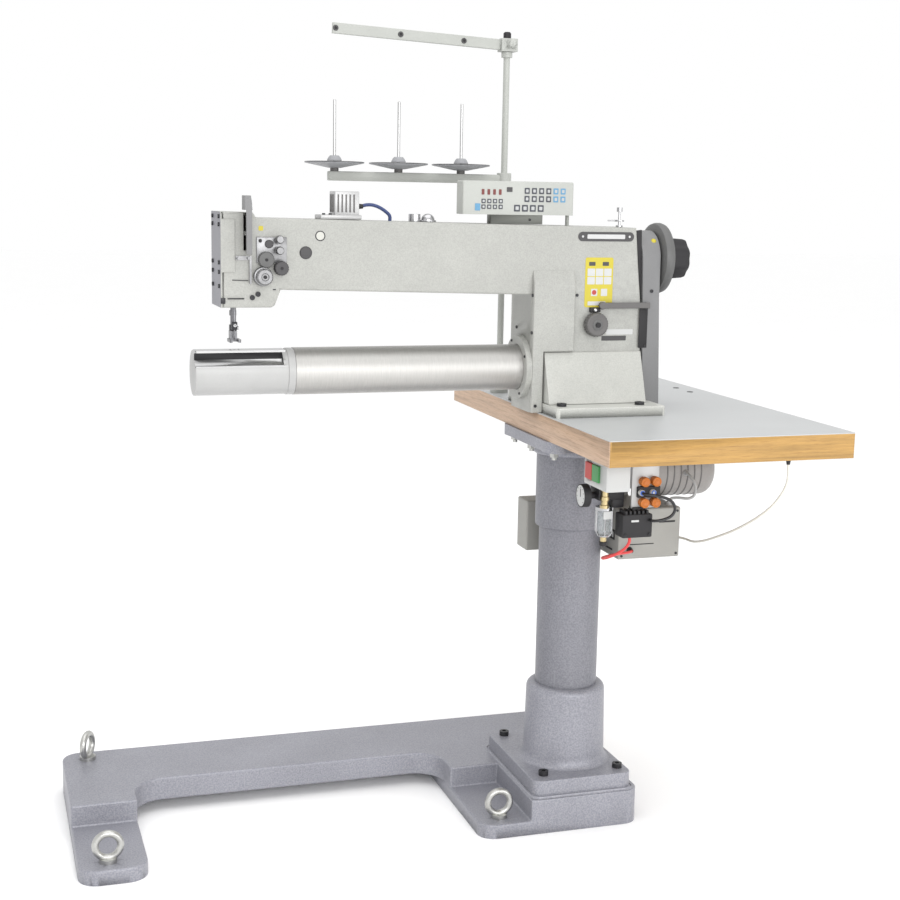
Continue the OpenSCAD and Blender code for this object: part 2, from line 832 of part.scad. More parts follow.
module control_panel() {
    color("lightgray") {
        block([-266, -28, 1287], [-27, 14, 1354]);
        block([-200, -12, arm_top(-200)], [-88, 12, 1289]);
        bar_z(-32, -8, arm_top(-36), 1289, 4);
    }
}

// ---- Thread stand ----

module thread_rod() {
    color("lightgray") {
        bar_z(rod_x, rod_y, table_z, rod_top, 7);
        bar_z(rod_x, rod_y, table_z, table_z + 8, 20);
        bar_z(rod_x, rod_y, spool_arm_z - 26, spool_arm_z - 15, 12);
        bar_z(rod_x, rod_y, guide_arm_z - 26, guide_arm_z - 15, 12);
    }
}

module spool_plate(x) {
    translate([x, rod_y, 0]) {
        rotate_extrude() polygon([[0, 1369], [9, 1369], [9, 1377], [14, 1377], [plate_r, 1388],
                                  [plate_r, 1390], [13, 1391], [10, 1403], [0, 1403]]);
        bar_z(0, 0, 1402, 1520, 3.2);
    }
}

module spool_arm() {
    color("wheat") difference() {
        union() {
            block([pin_xs[0] - 14, rod_y - 10, spool_arm_z - 10], [rod_x, rod_y + 10, spool_arm_z + 10]);
            bar_z(rod_x, rod_y, spool_arm_z - 14, spool_arm_z + 14, 16);
            for (x = pin_xs) {
                spool_plate(x);
            }
        }
        bar_z(rod_x, rod_y, spool_arm_z - 20, spool_arm_z + 20, 7 + run_gap);
    }
}

// Local frame of the guide bar: its root on the rod, tilted up to the left.
module on_guide_arm() {
    translate([rod_x, rod_y, guide_arm_z]) rotate([0, guide_tilt, 0]) children();
}

module guide_arm() {
    color("wheat") difference() {
        union() {
            on_guide_arm() block([pin_xs[0] - rod_x - 6, -6, -guide_half], [0, 6, guide_half]);
            block([rod_x - 17, rod_y - 15, guide_arm_z - 14], [rod_x + 20, rod_y + 15, guide_arm_z + 14]);
            bar_y(rod_x + 4, rod_y - 30, rod_y - 14, guide_arm_z + 2, 9);
        }
        bar_z(rod_x, rod_y, guide_arm_z - 20, guide_arm_z + 20, 7 + run_gap);
        on_guide_arm() for (x = pin_xs) {
            bar_z(x - rod_x, 0, -guide_half - 1, guide_half + 1, 2.5);
            bar_y(x - rod_x, -10, 10, 0, 3);
        }
    }
}

// ---- Under the table ----

module switch_box() {
    color("whitesmoke") difference() {
        block([-87, -380, 778], [-38, -272, board_bottom]);
        block([-88, -349, 790], [-66, -316.5, 823]);
        block([-88, -316, 790], [-66, -283.5, 823]);
    }
}

module start_button() {
    color("green") block([-91, -348.5, 790.5], [-72, -317, 822.5]);
}

module stop_button() {
    color("red") block([-91, -315.5, 790.5], [-72, -284, 822.5]);
}

module air_regulator() {
    color("dimgray") {
        bar_x(-82, -67, -244, 746, 23);
        bar_x(-68, -50, -244, 746, 7);
        block([-52, -266, 722], [4, -222, 770]);
        block([-40, -250, 769], [-10, -244, board_bottom]);
        bar_z(-34, -254, 690, 726, 10);
        bar_z(-34, -254, 662, 724, 17);
        bar_z(-34, -254, 650, 664, 6);
    }
}

module valve_block() {
    color("orange") {
        block([10, -284, 724], [68, -279, board_bottom]);
        block([-14, -300, 668], [50, -262, 715]);
        block([12, -284, 712], [40, -270, 726]);
        for (x = [33, 57], z = [736, 778]) {
            bar_y(x, -300, -283, z, 10);
        }
        for (x = [26, 50]) {
            bar_y(x, -300, -283, 757, 6);
        }
    }
}

// ---- Cords ----

module solenoid_cable() {
    color("midnightblue") swept_cord(solenoid_points, 7);
}

module white_cable() {
    color("tan") swept_cord(white_points, 5);
}

module grey_cable() {
    color("gray") swept_cord(grey_points, 6);
}

module air_hose() {
    color("black") swept_cord(hose_points, 6);
}

module red_cable() {
    color("red") swept_cord(red_points, 6);
}

base_casting();
eye_bolts();
column_foot();
foot_bolts();
lower_column();
upper_sleeve();
table_flange();
flange_bolts();
table_board();
table_laminate();
bed_plinth();
arm_casting();
drive_cover();
front_cover();
face_plate();
bar_bushings();
cover_screws();
bed_flange();
bed_tube();
hook_housing();
throat_plate();
belt_guard();
v_belt();
timing_belt();
motor();
control_box();
rear_box();
take_up_guard();
tension_plate();
thread_guides();
solenoid_box();
oil_filler();
pretension_post();
control_panel();
thread_rod();
switch_box();
air_regulator();
valve_block();
upper_shaft();
lower_shaft();
rotary_hook();
bobbin();
handwheel();
motor_pulley();
needle_bar();
presser_bar();
take_up_lever();
tension_nut();
stitch_dial();
reverse_lever();
spool_arm();
guide_arm();
start_button();
stop_button();
solenoid_cable();
white_cable();
grey_cable();
air_hose();
red_cable();
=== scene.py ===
import bmesh
import bpy
import json
import math
from mathutils import Matrix, Vector


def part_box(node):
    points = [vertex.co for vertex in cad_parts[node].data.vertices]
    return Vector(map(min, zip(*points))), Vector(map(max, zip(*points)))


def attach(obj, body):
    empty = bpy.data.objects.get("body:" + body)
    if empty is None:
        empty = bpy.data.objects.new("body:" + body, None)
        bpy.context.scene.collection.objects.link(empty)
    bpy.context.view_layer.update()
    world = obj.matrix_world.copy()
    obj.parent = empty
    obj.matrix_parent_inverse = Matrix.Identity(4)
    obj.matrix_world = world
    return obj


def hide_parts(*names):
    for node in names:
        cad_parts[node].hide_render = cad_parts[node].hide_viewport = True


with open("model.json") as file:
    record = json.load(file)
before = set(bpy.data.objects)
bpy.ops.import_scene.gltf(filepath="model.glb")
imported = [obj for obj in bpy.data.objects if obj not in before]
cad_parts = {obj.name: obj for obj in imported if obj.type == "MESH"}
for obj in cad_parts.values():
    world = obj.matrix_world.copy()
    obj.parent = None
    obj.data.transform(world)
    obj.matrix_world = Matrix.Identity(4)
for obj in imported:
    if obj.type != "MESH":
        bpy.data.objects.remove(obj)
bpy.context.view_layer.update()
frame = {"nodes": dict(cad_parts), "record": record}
MM = 0.001
scene = bpy.context.scene


# ---------------------------------------------------------------- camera

def add_camera():
    pitch, yaw, roll = 0.1689, -0.3109, 0.018
    forward = Vector((-math.sin(yaw) * math.cos(pitch), math.cos(yaw) * math.cos(pitch), -math.sin(pitch)))
    level = Vector((math.cos(yaw), math.sin(yaw), 0))
    above = level.cross(forward)
    right = math.cos(roll) * level + math.sin(roll) * above
    up = math.cos(roll) * above - math.sin(roll) * level
    data = bpy.data.cameras.new("camera")
    data.lens = 60.21
    data.sensor_width = 36
    data.clip_end = 50
    cam = bpy.data.objects.new("camera", data)
    scene.collection.objects.link(cam)
    m = Matrix((right, up, -forward)).transposed().to_4x4()
    m.translation = Vector((-1.216, -2.9306, 1.3277))
    cam.matrix_world = m
    scene.camera = cam


add_camera()


# ---------------------------------------------------------------- materials

def new_material(name):
    m = bpy.data.materials.new(name)
    m.use_nodes = True
    return m, m.node_tree.nodes, m.node_tree.links, m.node_tree.nodes["Principled BSDF"]


def coordinates(nodes, links, stretch):
    where = nodes.new("ShaderNodeTexCoord")
    mapping = nodes.new("ShaderNodeMapping")
    mapping.inputs["Scale"].default_value = stretch
    links.new(where.outputs["Object"], mapping.inputs["Vector"])
    return mapping.outputs["Vector"]


def noise(nodes, links, vector, scale, detail=3.0, rough=0.55):
    n = nodes.new("ShaderNodeTexNoise")
    n.inputs["Scale"].default_value = scale
    n.inputs["Detail"].default_value = detail
    n.inputs["Roughness"].default_value = rough
    links.new(vector, n.inputs["Vector"])
    return n.outputs["Fac"]


def ramp(nodes, links, value, stops):
    r = nodes.new("ShaderNodeValToRGB")
    el = r.color_ramp.elements
    while len(el) < len(stops):
        el.new(0.5)
    for e, (pos, col) in zip(el, stops):
        e.position = pos
        e.color = (*col, 1)
    links.new(value, r.inputs["Fac"])
    return r.outputs["Color"]


def shade(col, k):
    return tuple(min(1.0, c * k) for c in col)


def spread(nodes, links, value, low, high):
    r = nodes.new("ShaderNodeMapRange")
    r.inputs["To Min"].default_value = low
    r.inputs["To Max"].default_value = high
    links.new(value, r.inputs["Value"])
    return r.outputs["Result"]


def bump(nodes, links, bsdf, heights, distance, strength=1.0):
    b = nodes.new("ShaderNodeBump")
    b.inputs["Distance"].default_value = distance
    b.inputs["Strength"].default_value = strength
    links.new(heights, b.inputs["Height"])
    links.new(b.outputs["Normal"], bsdf.inputs["Normal"])
    return b


def mix_colour(nodes, links, factor, a, b, mode="MIX"):
    m = nodes.new("ShaderNodeMix")
    m.data_type = "RGBA"
    m.blend_type = mode
    if isinstance(factor, (int, float)):
        m.inputs[0].default_value = factor
    else:
        links.new(factor, m.inputs[0])
    for s, v in ((m.inputs[6], a), (m.inputs[7], b)):
        if isinstance(v, tuple):
            s.default_value = (*v, 1)
        else:
            links.new(v, s)
    return m.outputs[2]


def finish_material(name, col, rough, metal=0.0, vary=0.06, scale=9.0, stretch=(1, 1, 1), grain=700.0,
                    relief=0.00004, rough_spread=0.06, speckle=0.0, coat=0.0, worn=0.0, worn_col=None):
    """A moulded, painted or metal finish: cloudy colour, speckle, uneven gloss, fine relief and edge wear."""
    m, nodes, links, bsdf = new_material(name)
    v = coordinates(nodes, links, stretch)
    cloud = noise(nodes, links, v, scale)
    fine = noise(nodes, links, v, grain, 2.0)
    base = ramp(nodes, links, cloud, [(0.3, shade(col, 1 - vary)), (0.7, shade(col, 1 + vary))])
    if speckle:
        dots = ramp(nodes, links, fine, [(0.35, (1 - speckle,) * 3), (0.65, (1.0, 1.0, 1.0))])
        base = mix_colour(nodes, links, 1.0, base, dots, "MULTIPLY")
    if worn:
        g = nodes.new("ShaderNodeNewGeometry")
        edge = ramp(nodes, links, g.outputs["Pointiness"], [(0.52, (0, 0, 0)), (0.60, (worn,) * 3)])
        patch = mix_colour(nodes, links, 1.0, edge, ramp(nodes, links, noise(nodes, links, v, 60.0),
                           [(0.4, (0, 0, 0)), (0.6, (1, 1, 1))]), "MULTIPLY")
        base = mix_colour(nodes, links, patch, base, worn_col or shade(col, 1.4))
    links.new(base, bsdf.inputs["Base Color"])
    links.new(spread(nodes, links, fine, max(0.02, rough - rough_spread), rough + rough_spread),
              bsdf.inputs["Roughness"])
    bsdf.inputs["Metallic"].default_value = metal
    bsdf.inputs["Coat Weight"].default_value = coat
    bump(nodes, links, bsdf, fine, relief)
    return m


def hammered(name, col):
    """Hammered enamel: shallow rounded cells a few millimetres across over a silvery base."""
    m, nodes, links, bsdf = new_material(name)
    v = coordinates(nodes, links, (1, 1, 1))
    cells = nodes.new("ShaderNodeTexVoronoi")
    cells.feature = "SMOOTH_F1"
    cells.inputs["Scale"].default_value = 260
    cells.inputs["Smoothness"].default_value = 0.6
    links.new(v, cells.inputs["Vector"])
    cloud = noise(nodes, links, v, 5.0)
    fine = noise(nodes, links, v, 300.0, 3.0)
    base = ramp(nodes, links, cloud, [(0.3, shade(col, 0.93)), (0.7, shade(col, 1.07))])
    flecks = ramp(nodes, links, fine, [(0.36, (0.70, 0.71, 0.74)), (0.64, (1.0, 1.0, 1.0))])
    base = mix_colour(nodes, links, 1.0, base, flecks, "MULTIPLY")
    links.new(base, bsdf.inputs["Base Color"])
    links.new(spread(nodes, links, fine, 0.34, 0.52), bsdf.inputs["Roughness"])
    bsdf.inputs["Metallic"].default_value = 0.25
    h = nodes.new("ShaderNodeMath")
    h.operation = "ADD"
    links.new(cells.outputs["Distance"], h.inputs[0])
    links.new(fine, h.inputs[1])
    bump(nodes, links, bsdf, h.outputs[0], 0.0003, 0.8)
    return m


def wood(name, col, along):
    """Oiled oak edging: long grain along one axis, with darker pores."""
    stretch = {"X": (6, 60, 160), "Y": (60, 6, 160)}[along]
    m, nodes, links, bsdf = new_material(name)
    v = coordinates(nodes, links, stretch)
    grain = noise(nodes, links, v, 1.0, 6.0, 0.62)
    pores = noise(nodes, links, v, 5.0, 4.0, 0.7)
    base = ramp(nodes, links, grain, [(0.28, shade(col, 0.72)), (0.48, col), (0.7, shade(col, 1.18))])
    dark = ramp(nodes, links, pores, [(0.33, (0.72, 0.66, 0.6)), (0.5, (1, 1, 1))])
    base = mix_colour(nodes, links, 1.0, base, dark, "MULTIPLY")
    links.new(base, bsdf.inputs["Base Color"])
    links.new(spread(nodes, links, pores, 0.38, 0.56), bsdf.inputs["Roughness"])
    bump(nodes, links, bsdf, pores, 0.00025, 0.7)
    return m


def clear(name, col, alpha_rough=0.06):
    m, nodes, links, bsdf = new_material(name)
    v = coordinates(nodes, links, (1, 1, 1))
    smear = noise(nodes, links, v, 90.0)
    links.new(ramp(nodes, links, smear, [(0.3, shade(col, 0.95)), (0.7, col)]), bsdf.inputs["Base Color"])
    links.new(spread(nodes, links, smear, alpha_rough, alpha_rough + 0.08), bsdf.inputs["Roughness"])
    bsdf.inputs["Transmission Weight"].default_value = 0.85
    bsdf.inputs["IOR"].default_value = 1.46
    return m


BASE_GREY = (0.325, 0.325, 0.358)
CREAM = (0.385, 0.387, 0.362)
M = {
    "hammered": hammered("hammered_enamel", BASE_GREY),
    "hammered_dark": hammered("hammered_enamel_column", shade(BASE_GREY, 0.70)),
    "cream": finish_material("cream_enamel", shade(CREAM, 0.96), 0.42, grain=420, speckle=0.16,
                             relief=0.00006, worn=0.25),
    # Lighter copies of the cream enamel for the front cover and the plinth, which are the same paint as the
    # arm: painted light on these low faces.
    "cream_low": finish_material("cream_enamel_low_painted_light", shade(CREAM, 1.2), 0.42, grain=420, speckle=0.14,
                                 relief=0.00006, worn=0.2),
    "cream_plinth": finish_material("cream_enamel_plinth_painted_light", shade(CREAM, 1.42), 0.42, grain=420, speckle=0.14,
                                    relief=0.00006, worn=0.2),
    "housing": finish_material("housing_enamel", (0.41, 0.41, 0.405), 0.36, grain=900, speckle=0.06,
                               worn=0.2),
    # This dark grey is painted shade for the face plate's left face, which is turned away from the light.
    "side": finish_material("cover_side_painted_shade", (0.20, 0.20, 0.225), 0.42, grain=900, speckle=0.08),
    "laminate": finish_material("grey_laminate", (0.43, 0.44, 0.442), 0.40, vary=0.02, grain=500,
                                speckle=0.05, relief=0.00002),
    "oak_front": wood("oak_edge_front", (0.40, 0.23, 0.062), "X"),
    "oak_side": wood("oak_edge_side", (0.50, 0.35, 0.245), "Y"),
    "board": finish_material("board_underside", (0.36, 0.25, 0.15), 0.8, vary=0.15, grain=300, speckle=0.25),
    "steel": finish_material("ground_steel", (0.48, 0.48, 0.48), 0.30, metal=1.0, grain=500, vary=0.05),
    "tube": finish_material("turned_steel", (0.50, 0.492, 0.475), 0.50, metal=1.0, stretch=(40, 1, 1),
                            scale=30, grain=60, rough_spread=0.10, relief=0.00003, vary=0.05, speckle=0.10),
    "chrome": finish_material("bright_chrome", (0.46, 0.46, 0.47), 0.20, metal=1.0, grain=200,
                              relief=0.00001),
    "dull_chrome": finish_material("dull_chrome", (0.25, 0.25, 0.255), 0.34, metal=0.9, grain=300,
                                   relief=0.00002, vary=0.15, scale=60),
    "zinc": finish_material("zinc_plate", (0.52, 0.52, 0.50), 0.34, metal=1.0, vary=0.12, scale=40,
                            speckle=0.12),
    "black_steel": finish_material("black_oxide", (0.035, 0.035, 0.038), 0.42, metal=0.6, grain=600),
    "guard": finish_material("belt_guard_grey", (0.19, 0.19, 0.193), 0.5, grain=900, relief=0.00006,
                             speckle=0.12),
    "black": finish_material("black_moulding", (0.012, 0.011, 0.013), 0.62, grain=900, relief=0.00005),
    "gloss_black": finish_material("gloss_black", (0.018, 0.018, 0.02), 0.16, grain=500, relief=0.00001,
                                   coat=0.4),
    "rubber": finish_material("belt_rubber", (0.02, 0.02, 0.02), 0.75, grain=900, speckle=0.2),
    "motor": finish_material("motor_enamel", (0.28, 0.265, 0.255), 0.45, grain=700, speckle=0.1),
    "case": finish_material("cream_case", (0.30, 0.295, 0.275), 0.5, grain=900, speckle=0.08),
    "silver": finish_material("satin_silver", (0.44, 0.44, 0.44), 0.38, metal=0.4, grain=600),
    "panel": finish_material("panel_case", (0.40, 0.41, 0.385), 0.48, grain=900, speckle=0.06),
    "key_dark": finish_material("key_grey", (0.045, 0.048, 0.06), 0.55, grain=1200),
    "key_white": finish_material("key_white", (0.40, 0.41, 0.41), 0.5, grain=1200),
    "key_blue": finish_material("key_blue", (0.10, 0.26, 0.42), 0.5, grain=1200),
    "led": finish_material("led_red", (0.15, 0.032, 0.028), 0.5, grain=1200),
    "label_yellow": finish_material("label_yellow", (0.50, 0.42, 0.03), 0.5, grain=900, vary=0.03),
    "label_white": finish_material("label_white", (0.50, 0.505, 0.50), 0.5, grain=900, vary=0.02),
    "switch": finish_material("switch_case", (0.46, 0.465, 0.46), 0.5, grain=900),
    "green": finish_material("button_green", (0.04, 0.22, 0.06), 0.45, grain=900),
    "red": finish_material("button_red", (0.40, 0.035, 0.03), 0.45, grain=900),
    "orange": finish_material("cap_orange", (0.48, 0.14, 0.016), 0.45, grain=900),
    "blue_ring": finish_material("fitting_blue", (0.06, 0.16, 0.62), 0.4, grain=900),
    "brass": finish_material("brass", (0.55, 0.45, 0.25), 0.32, metal=1.0, grain=400),
    "clear": clear("clear_plastic", (0.86, 0.89, 0.90)),
    "blue_sheath": finish_material("blue_sheath", (0.03, 0.05, 0.15), 0.5, grain=800),
    "white_sheath": finish_material("white_sheath", (0.66, 0.64, 0.58), 0.5, grain=800),
    "grey_sheath": finish_material("grey_sheath", (0.36, 0.36, 0.36), 0.5, grain=800),
    "red_sheath": finish_material("red_sheath", (0.62, 0.05, 0.05), 0.42, grain=800),
    "hose": finish_material("black_hose", (0.015, 0.015, 0.017), 0.3, grain=800),
    "wheel": finish_material("wheel_grey", (0.108, 0.108, 0.107), 0.46, grain=900, relief=0.00006,
                             speckle=0.10),
    "mid_grey": finish_material("mid_grey_moulding", (0.115, 0.11, 0.108), 0.5, grain=900, speckle=0.08),
    "plate_grey": finish_material("plate_grey", (0.055, 0.053, 0.055), 0.55, grain=900, speckle=0.10),
    "dark_steel": finish_material("dark_steel", (0.20, 0.20, 0.21), 0.32, metal=1.0, grain=500, vary=0.12),
    "seat": finish_material("spool_seat", (0.30, 0.305, 0.32), 0.5, grain=900),
    "pale_trim": finish_material("pale_trim", (0.50, 0.50, 0.46), 0.45, grain=900),
}


# ---------------------------------------------------------------- mesh building

def finish_mesh(mesh, angle=32):
    for p in mesh.polygons:
        p.use_smooth = True
    mesh.set_sharp_from_angle(angle=math.radians(angle))


def seat(obj, body, replaces=()):
    scene.collection.objects.link(obj)
    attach(obj, body)
    if replaces:
        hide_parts(*replaces)
    return obj


AXES = {"X": (1, 2, 0), "Y": (0, 2, 1), "Z": (0, 1, 2)}


def round_edges(bm, edges, width, segments):
    bmesh.ops.bevel(bm, geom=edges, offset=width, segments=segments, profile=0.5, affect="EDGES",
                    clamp_overlap=False)


class Piece:
    """Collects several solids of one material on one body, in millimetres, and makes one object of them."""

    def __init__(self, name, body, material, slot=None, replaces=()):
        self.name, self.body, self.slot, self.replaced = name, body, slot, replaces
        self.materials = [M[m] for m in (material if isinstance(material, (list, tuple)) else [material])]
        self.bm = bmesh.new()
        self.index = 0

    def take(self, part):
        for f in part.faces:
            f.material_index = self.index
        bmesh.ops.recalc_face_normals(part, faces=part.faces)
        mesh = bpy.data.meshes.new("part")
        part.to_mesh(mesh)
        part.free()
        self.bm.from_mesh(mesh)
        bpy.data.meshes.remove(mesh)
        return self

    def box(self, lo, hi, r=0.6, segments=2, turn=None):
        part = bmesh.new()
        bmesh.ops.create_cube(part, size=1)
        size = Vector(hi) - Vector(lo)
        mid = (Vector(hi) + Vector(lo)) / 2
        for v in part.verts:
            v.co = Vector((v.co.x * size.x, v.co.y * size.y, v.co.z * size.z))
        r = min(r, min(size) * 0.45)
        if r > 0:
            round_edges(part, part.edges[:], r, segments)
        move = Matrix.Translation(mid)
        if turn:
            move = move @ Matrix.Rotation(math.radians(turn[1]), 4, turn[0])
        bmesh.ops.transform(part, matrix=move, verts=part.verts)
        return self.take(part)

    def turned(self, profile, centre=(0, 0, 0), axis="Z", steps=40, ripple=0, depth=0, closed=False):
        """Revolves (along, radius) pairs about an axis through centre; ripple is the number of grips."""
        part = bmesh.new()
        u, w, a = AXES[axis]
        gripped = 0.7 * max(radius for _, radius in profile)
        rings = []
        for along, radius in profile:
            ring = []
            for i in range(steps):
                t = 2 * math.pi * i / steps
                r = radius
                if ripple and radius > gripped:
                    r = radius - depth * (0.5 + 0.5 * math.cos(ripple * t))
                p = list(centre)
                p[a] += along
                p[u] += r * math.cos(t)
                p[w] += r * math.sin(t)
                ring.append(part.verts.new(p))
            rings.append(ring)
        n = len(rings)
        for k in range(n if closed else n - 1):
            one, two = rings[k], rings[(k + 1) % n]
            for i in range(steps):
                j = (i + 1) % steps
                part.faces.new((one[i], one[j], two[j], two[i]))
        if not closed:
            part.faces.new(rings[0])
            part.faces.new(rings[-1])
        bmesh.ops.remove_doubles(part, verts=part.verts, dist=1e-4)
        return self.take(part)

    def rod(self, centre, axis, length, radius, edge=0.3, steps=24):
        e = min(edge, radius * 0.4, length * 0.3)
        return self.turned([(0, radius - e), (e, radius), (length - e, radius), (length, radius - e)],
                           centre, axis, steps)

    def prism(self, outline, axis, low, high, r=0.0, segments=2):
        part = bmesh.new()
        u, w, a = AXES[axis]
        ends = []
        for level in (low, high):
            ring = []
            for q in outline:
                p = [0, 0, 0]
                p[a], p[u], p[w] = level, q[0], q[1]
                ring.append(part.verts.new(p))
            ends.append(ring)
        n = len(outline)
        for i in range(n):
            j = (i + 1) % n
            part.faces.new((ends[0][i], ends[0][j], ends[1][j], ends[1][i]))
        part.faces.new(ends[0])
        part.faces.new(ends[1])
        if r:
            round_edges(part, part.edges[:], r, segments)
        return self.take(part)

    def tube(self, points, radius, sides=12):
        part = bmesh.new()
        pts = [Vector(p) for p in points]
        ref = Vector((0.577, 0.577, 0.577))
        rings = []
        for i, p in enumerate(pts):
            d = (pts[min(i + 1, len(pts) - 1)] - pts[max(i - 1, 0)]).normalized()
            s = d.cross(ref).normalized()
            t = d.cross(s)
            rings.append([part.verts.new(p + radius * (math.cos(2 * math.pi * k / sides) * s
                                                       + math.sin(2 * math.pi * k / sides) * t))
                          for k in range(sides)])
        for one, two in zip(rings, rings[1:]):
            for i in range(sides):
                j = (i + 1) % sides
                part.faces.new((one[i], one[j], two[j], two[i]))
        part.faces.new(rings[0])
        part.faces.new(rings[-1])
        return self.take(part)

    def socket_screw(self, centre, axis, radius, height, sign=1):
        """A cap-screw head with a round socket, standing along +axis or -axis."""
        rim, deep = radius * 0.52, height * 0.45
        e = radius * 0.1
        profile = [(0, radius), (sign * (height - e), radius), (sign * height, radius - e),
                   (sign * height, rim), (sign * deep, rim * 0.96)]
        return self.turned(profile, centre, axis, 24)

    def done(self):
        bmesh.ops.transform(self.bm, matrix=Matrix.Scale(MM, 4), verts=self.bm.verts)
        mesh = bpy.data.meshes.new(self.name)
        self.bm.to_mesh(mesh)
        self.bm.free()
        for m in self.materials:
            mesh.materials.append(m)
        finish_mesh(mesh)
        return seat(bpy.data.objects.new(self.name, mesh), self.body, self.replaced)


BODY_OF = {n: b for b, ns in frame["record"]["behaviour"]["bodies"].items() for n in ns}
SLOT_OF = {s["node"]: s["material_slot"] for s in frame["record"]["subparts"]}


def clean_copy(node):
    bm = bmesh.new()
    bm.from_mesh(frame["nodes"][node].data)
    bmesh.ops.remove_doubles(bm, verts=bm.verts, dist=0.02 * MM)
    return bm


def rounded(node, name, material, width, keep=None, segments=3, paint=None, angle=28):
    """A copy of a CAD node with its sharp edges rounded, in place of that node."""
    bm = clean_copy(node)
    w = width * MM

    def sharp(e):
        if len(e.link_faces) != 2 or e.calc_face_angle(0) < math.radians(angle):
            return False
        mid = (e.verts[0].co + e.verts[1].co) / 2 / MM
        return keep is None or keep(mid, e.calc_length() / MM)

    edges = [e for e in bm.edges if sharp(e)]
    if edges:
        round_edges(bm, edges, w, segments)
    mesh = bpy.data.meshes.new(name)
    materials = material if isinstance(material, (list, tuple)) else [material]
    if paint:
        for f in bm.faces:
            f.material_index = paint(f.calc_center_median() / MM, f.normal)
    bm.to_mesh(mesh)
    bm.free()
    for m in materials:
        mesh.materials.append(M[m])
    finish_mesh(mesh)
    obj = bpy.data.objects.new(name, mesh)
    normals = obj.modifiers.new("flat_face_normals", "WEIGHTED_NORMAL")
    normals.keep_sharp = True
    return seat(obj, BODY_OF[node], (node,))


def coat(node, material):
    """A better material on a CAD node that stays as it is."""
    obj = frame["nodes"][node]
    for s in obj.material_slots:
        s.material = M[material]


# ---------------------------------------------------------------- cords

def smooth_path(points, per=3):
    """A smooth curve through the route's points, with its ends kept straight."""
    p = [Vector(q) for q in points]
    p = [2 * p[0] - p[1]] + p + [2 * p[-1] - p[-2]]
    out = []
    for i in range(1, len(p) - 2):
        for k in range(per):
            t = k / per
            a, b, c, d = p[i - 1], p[i], p[i + 1], p[i + 2]
            out.append(0.5 * ((2 * b) + (c - a) * t + (2 * a - 5 * b + 4 * c - d) * t * t
                              + (3 * b - a - 3 * c + d) * t ** 3))
    out.append(p[-2])
    return out


def add_cord(name, node, points, diameter, material):
    path = smooth_path(points)
    obj = Piece(name, "carriage", material, SLOT_OF[node], (node,)).tube(path, diameter / 2).done()
    return obj


WHITE_ROUTE = [(285, -400, 835), (285, -400, 822), (290, -394, 800), (293, -384, 778),
               (291, -368, 754), (284, -350, 730), (274, -328, 708), (262, -296, 684),
               (250, -256, 660), (241, -214, 640), (236, -170, 622), (237, -130, 610),
               (241, -96, 603), (240, -70, 602), (233, -52, 602), (221, -50, 602)]
GREY_ROUTE = [(240, -58, 745), (240, -68, 745), (243, -79, 738), (248, -86, 726),
              (250, -88, 712), (246, -86, 699), (236, -80, 693), (222, -68, 693),
              (210, -59, 691), (204, -56, 685), (204, -56, 676)]
HOSE_ROUTE = [(26, -300, 757), (26, -309, 757), (37, -317, 756), (54, -320, 753),
              (72, -321, 747), (84, -320, 737), (87, -320, 724), (80, -320, 713),
              (66, -319, 707), (53, -316, 704), (44, -309, 703), (44, -300, 703)]
RED_ROUTE = [(8, -285, 668), (8, -285, 656), (2, -278, 642), (-8, -266, 630),
             (-16, -246, 619), (-16, -220, 610), (-6, -190, 603), (14, -160, 597),
             (42, -130, 592), (70, -110, 589), (92, -101, 588), (104, -92, 588), (104, -80, 588)]
SOLENOID_ROUTE = [(-478, 0, 1299), (-470, 0, 1299), (-458, 0, 1302), (-445, 0, 1302),
                  (-432, 0, 1298), (-420, 0, 1291), (-410, 0, 1282), (-409, 0, 1271.3)]
add_cord("white_cable_sheath", "white_cable", WHITE_ROUTE, 5, "white_sheath")
add_cord("grey_cable_sheath", "grey_cable", GREY_ROUTE, 6, "grey_sheath")
add_cord("air_hose_tube", "air_hose", HOSE_ROUTE, 6, "hose")
add_cord("red_cable_sheath", "red_cable", RED_ROUTE, 6, "red_sheath")
add_cord("solenoid_cable_sheath", "solenoid_cable", SOLENOID_ROUTE, 7, "blue_sheath")


# ---------------------------------------------------------------- stand

EYE_BOLTS = [(-993, -103), (-998, 335), (-185, -103), (80, 335)]
FOOT_BOLTS = [(-85, -100), (85, -100), (-85, 148), (85, 148)]


def clear_of(spots, m, reach=12):
    return not any(math.hypot(m.x - x, m.y - y) < reach for x, y in spots)


def make_stand():
    rounded("base_casting", "base_body", "hammered", 4.0,
            keep=lambda m, l: m.z > 1 and clear_of(EYE_BOLTS + FOOT_BOLTS, m))
    rounded("column_foot", "column_foot_body", "hammered", 2.5,
            keep=lambda m, l: 81 < m.z < 130 and math.hypot(m.x, m.y) > 104 and clear_of(FOOT_BOLTS, m))
    rounded("table_flange", "table_flange_body", "hammered", 2.0,
            keep=lambda m, l: math.hypot(m.x, m.y) > 84 and m.z < 834 and l > 4)


COATS = {
    "lower_column": "hammered_dark", "upper_sleeve": "hammered_dark", "eye_bolts": "zinc",
    "foot_bolts": "black_steel", "flange_bolts": "zinc", "bar_bushings": "steel",
    "cover_screws": "black_steel", "throat_plate": "steel", "v_belt": "rubber", "timing_belt": "rubber",
    "thread_rod": "panel", "upper_shaft": "steel", "lower_shaft": "steel", "rotary_hook": "steel",
    "bobbin": "steel", "motor_pulley": "silver", "needle_bar": "dark_steel", "presser_bar": "dark_steel",
    "take_up_lever": "chrome", "bed_tube": "tube", "thread_guides": "dull_chrome",
    "table_laminate": "laminate"}


# ---------------------------------------------------------------- table and machine body

def table_paint(c, n):
    if n.z < -0.5:
        return 2
    return 1 if abs(n.x) > 0.7 else 0


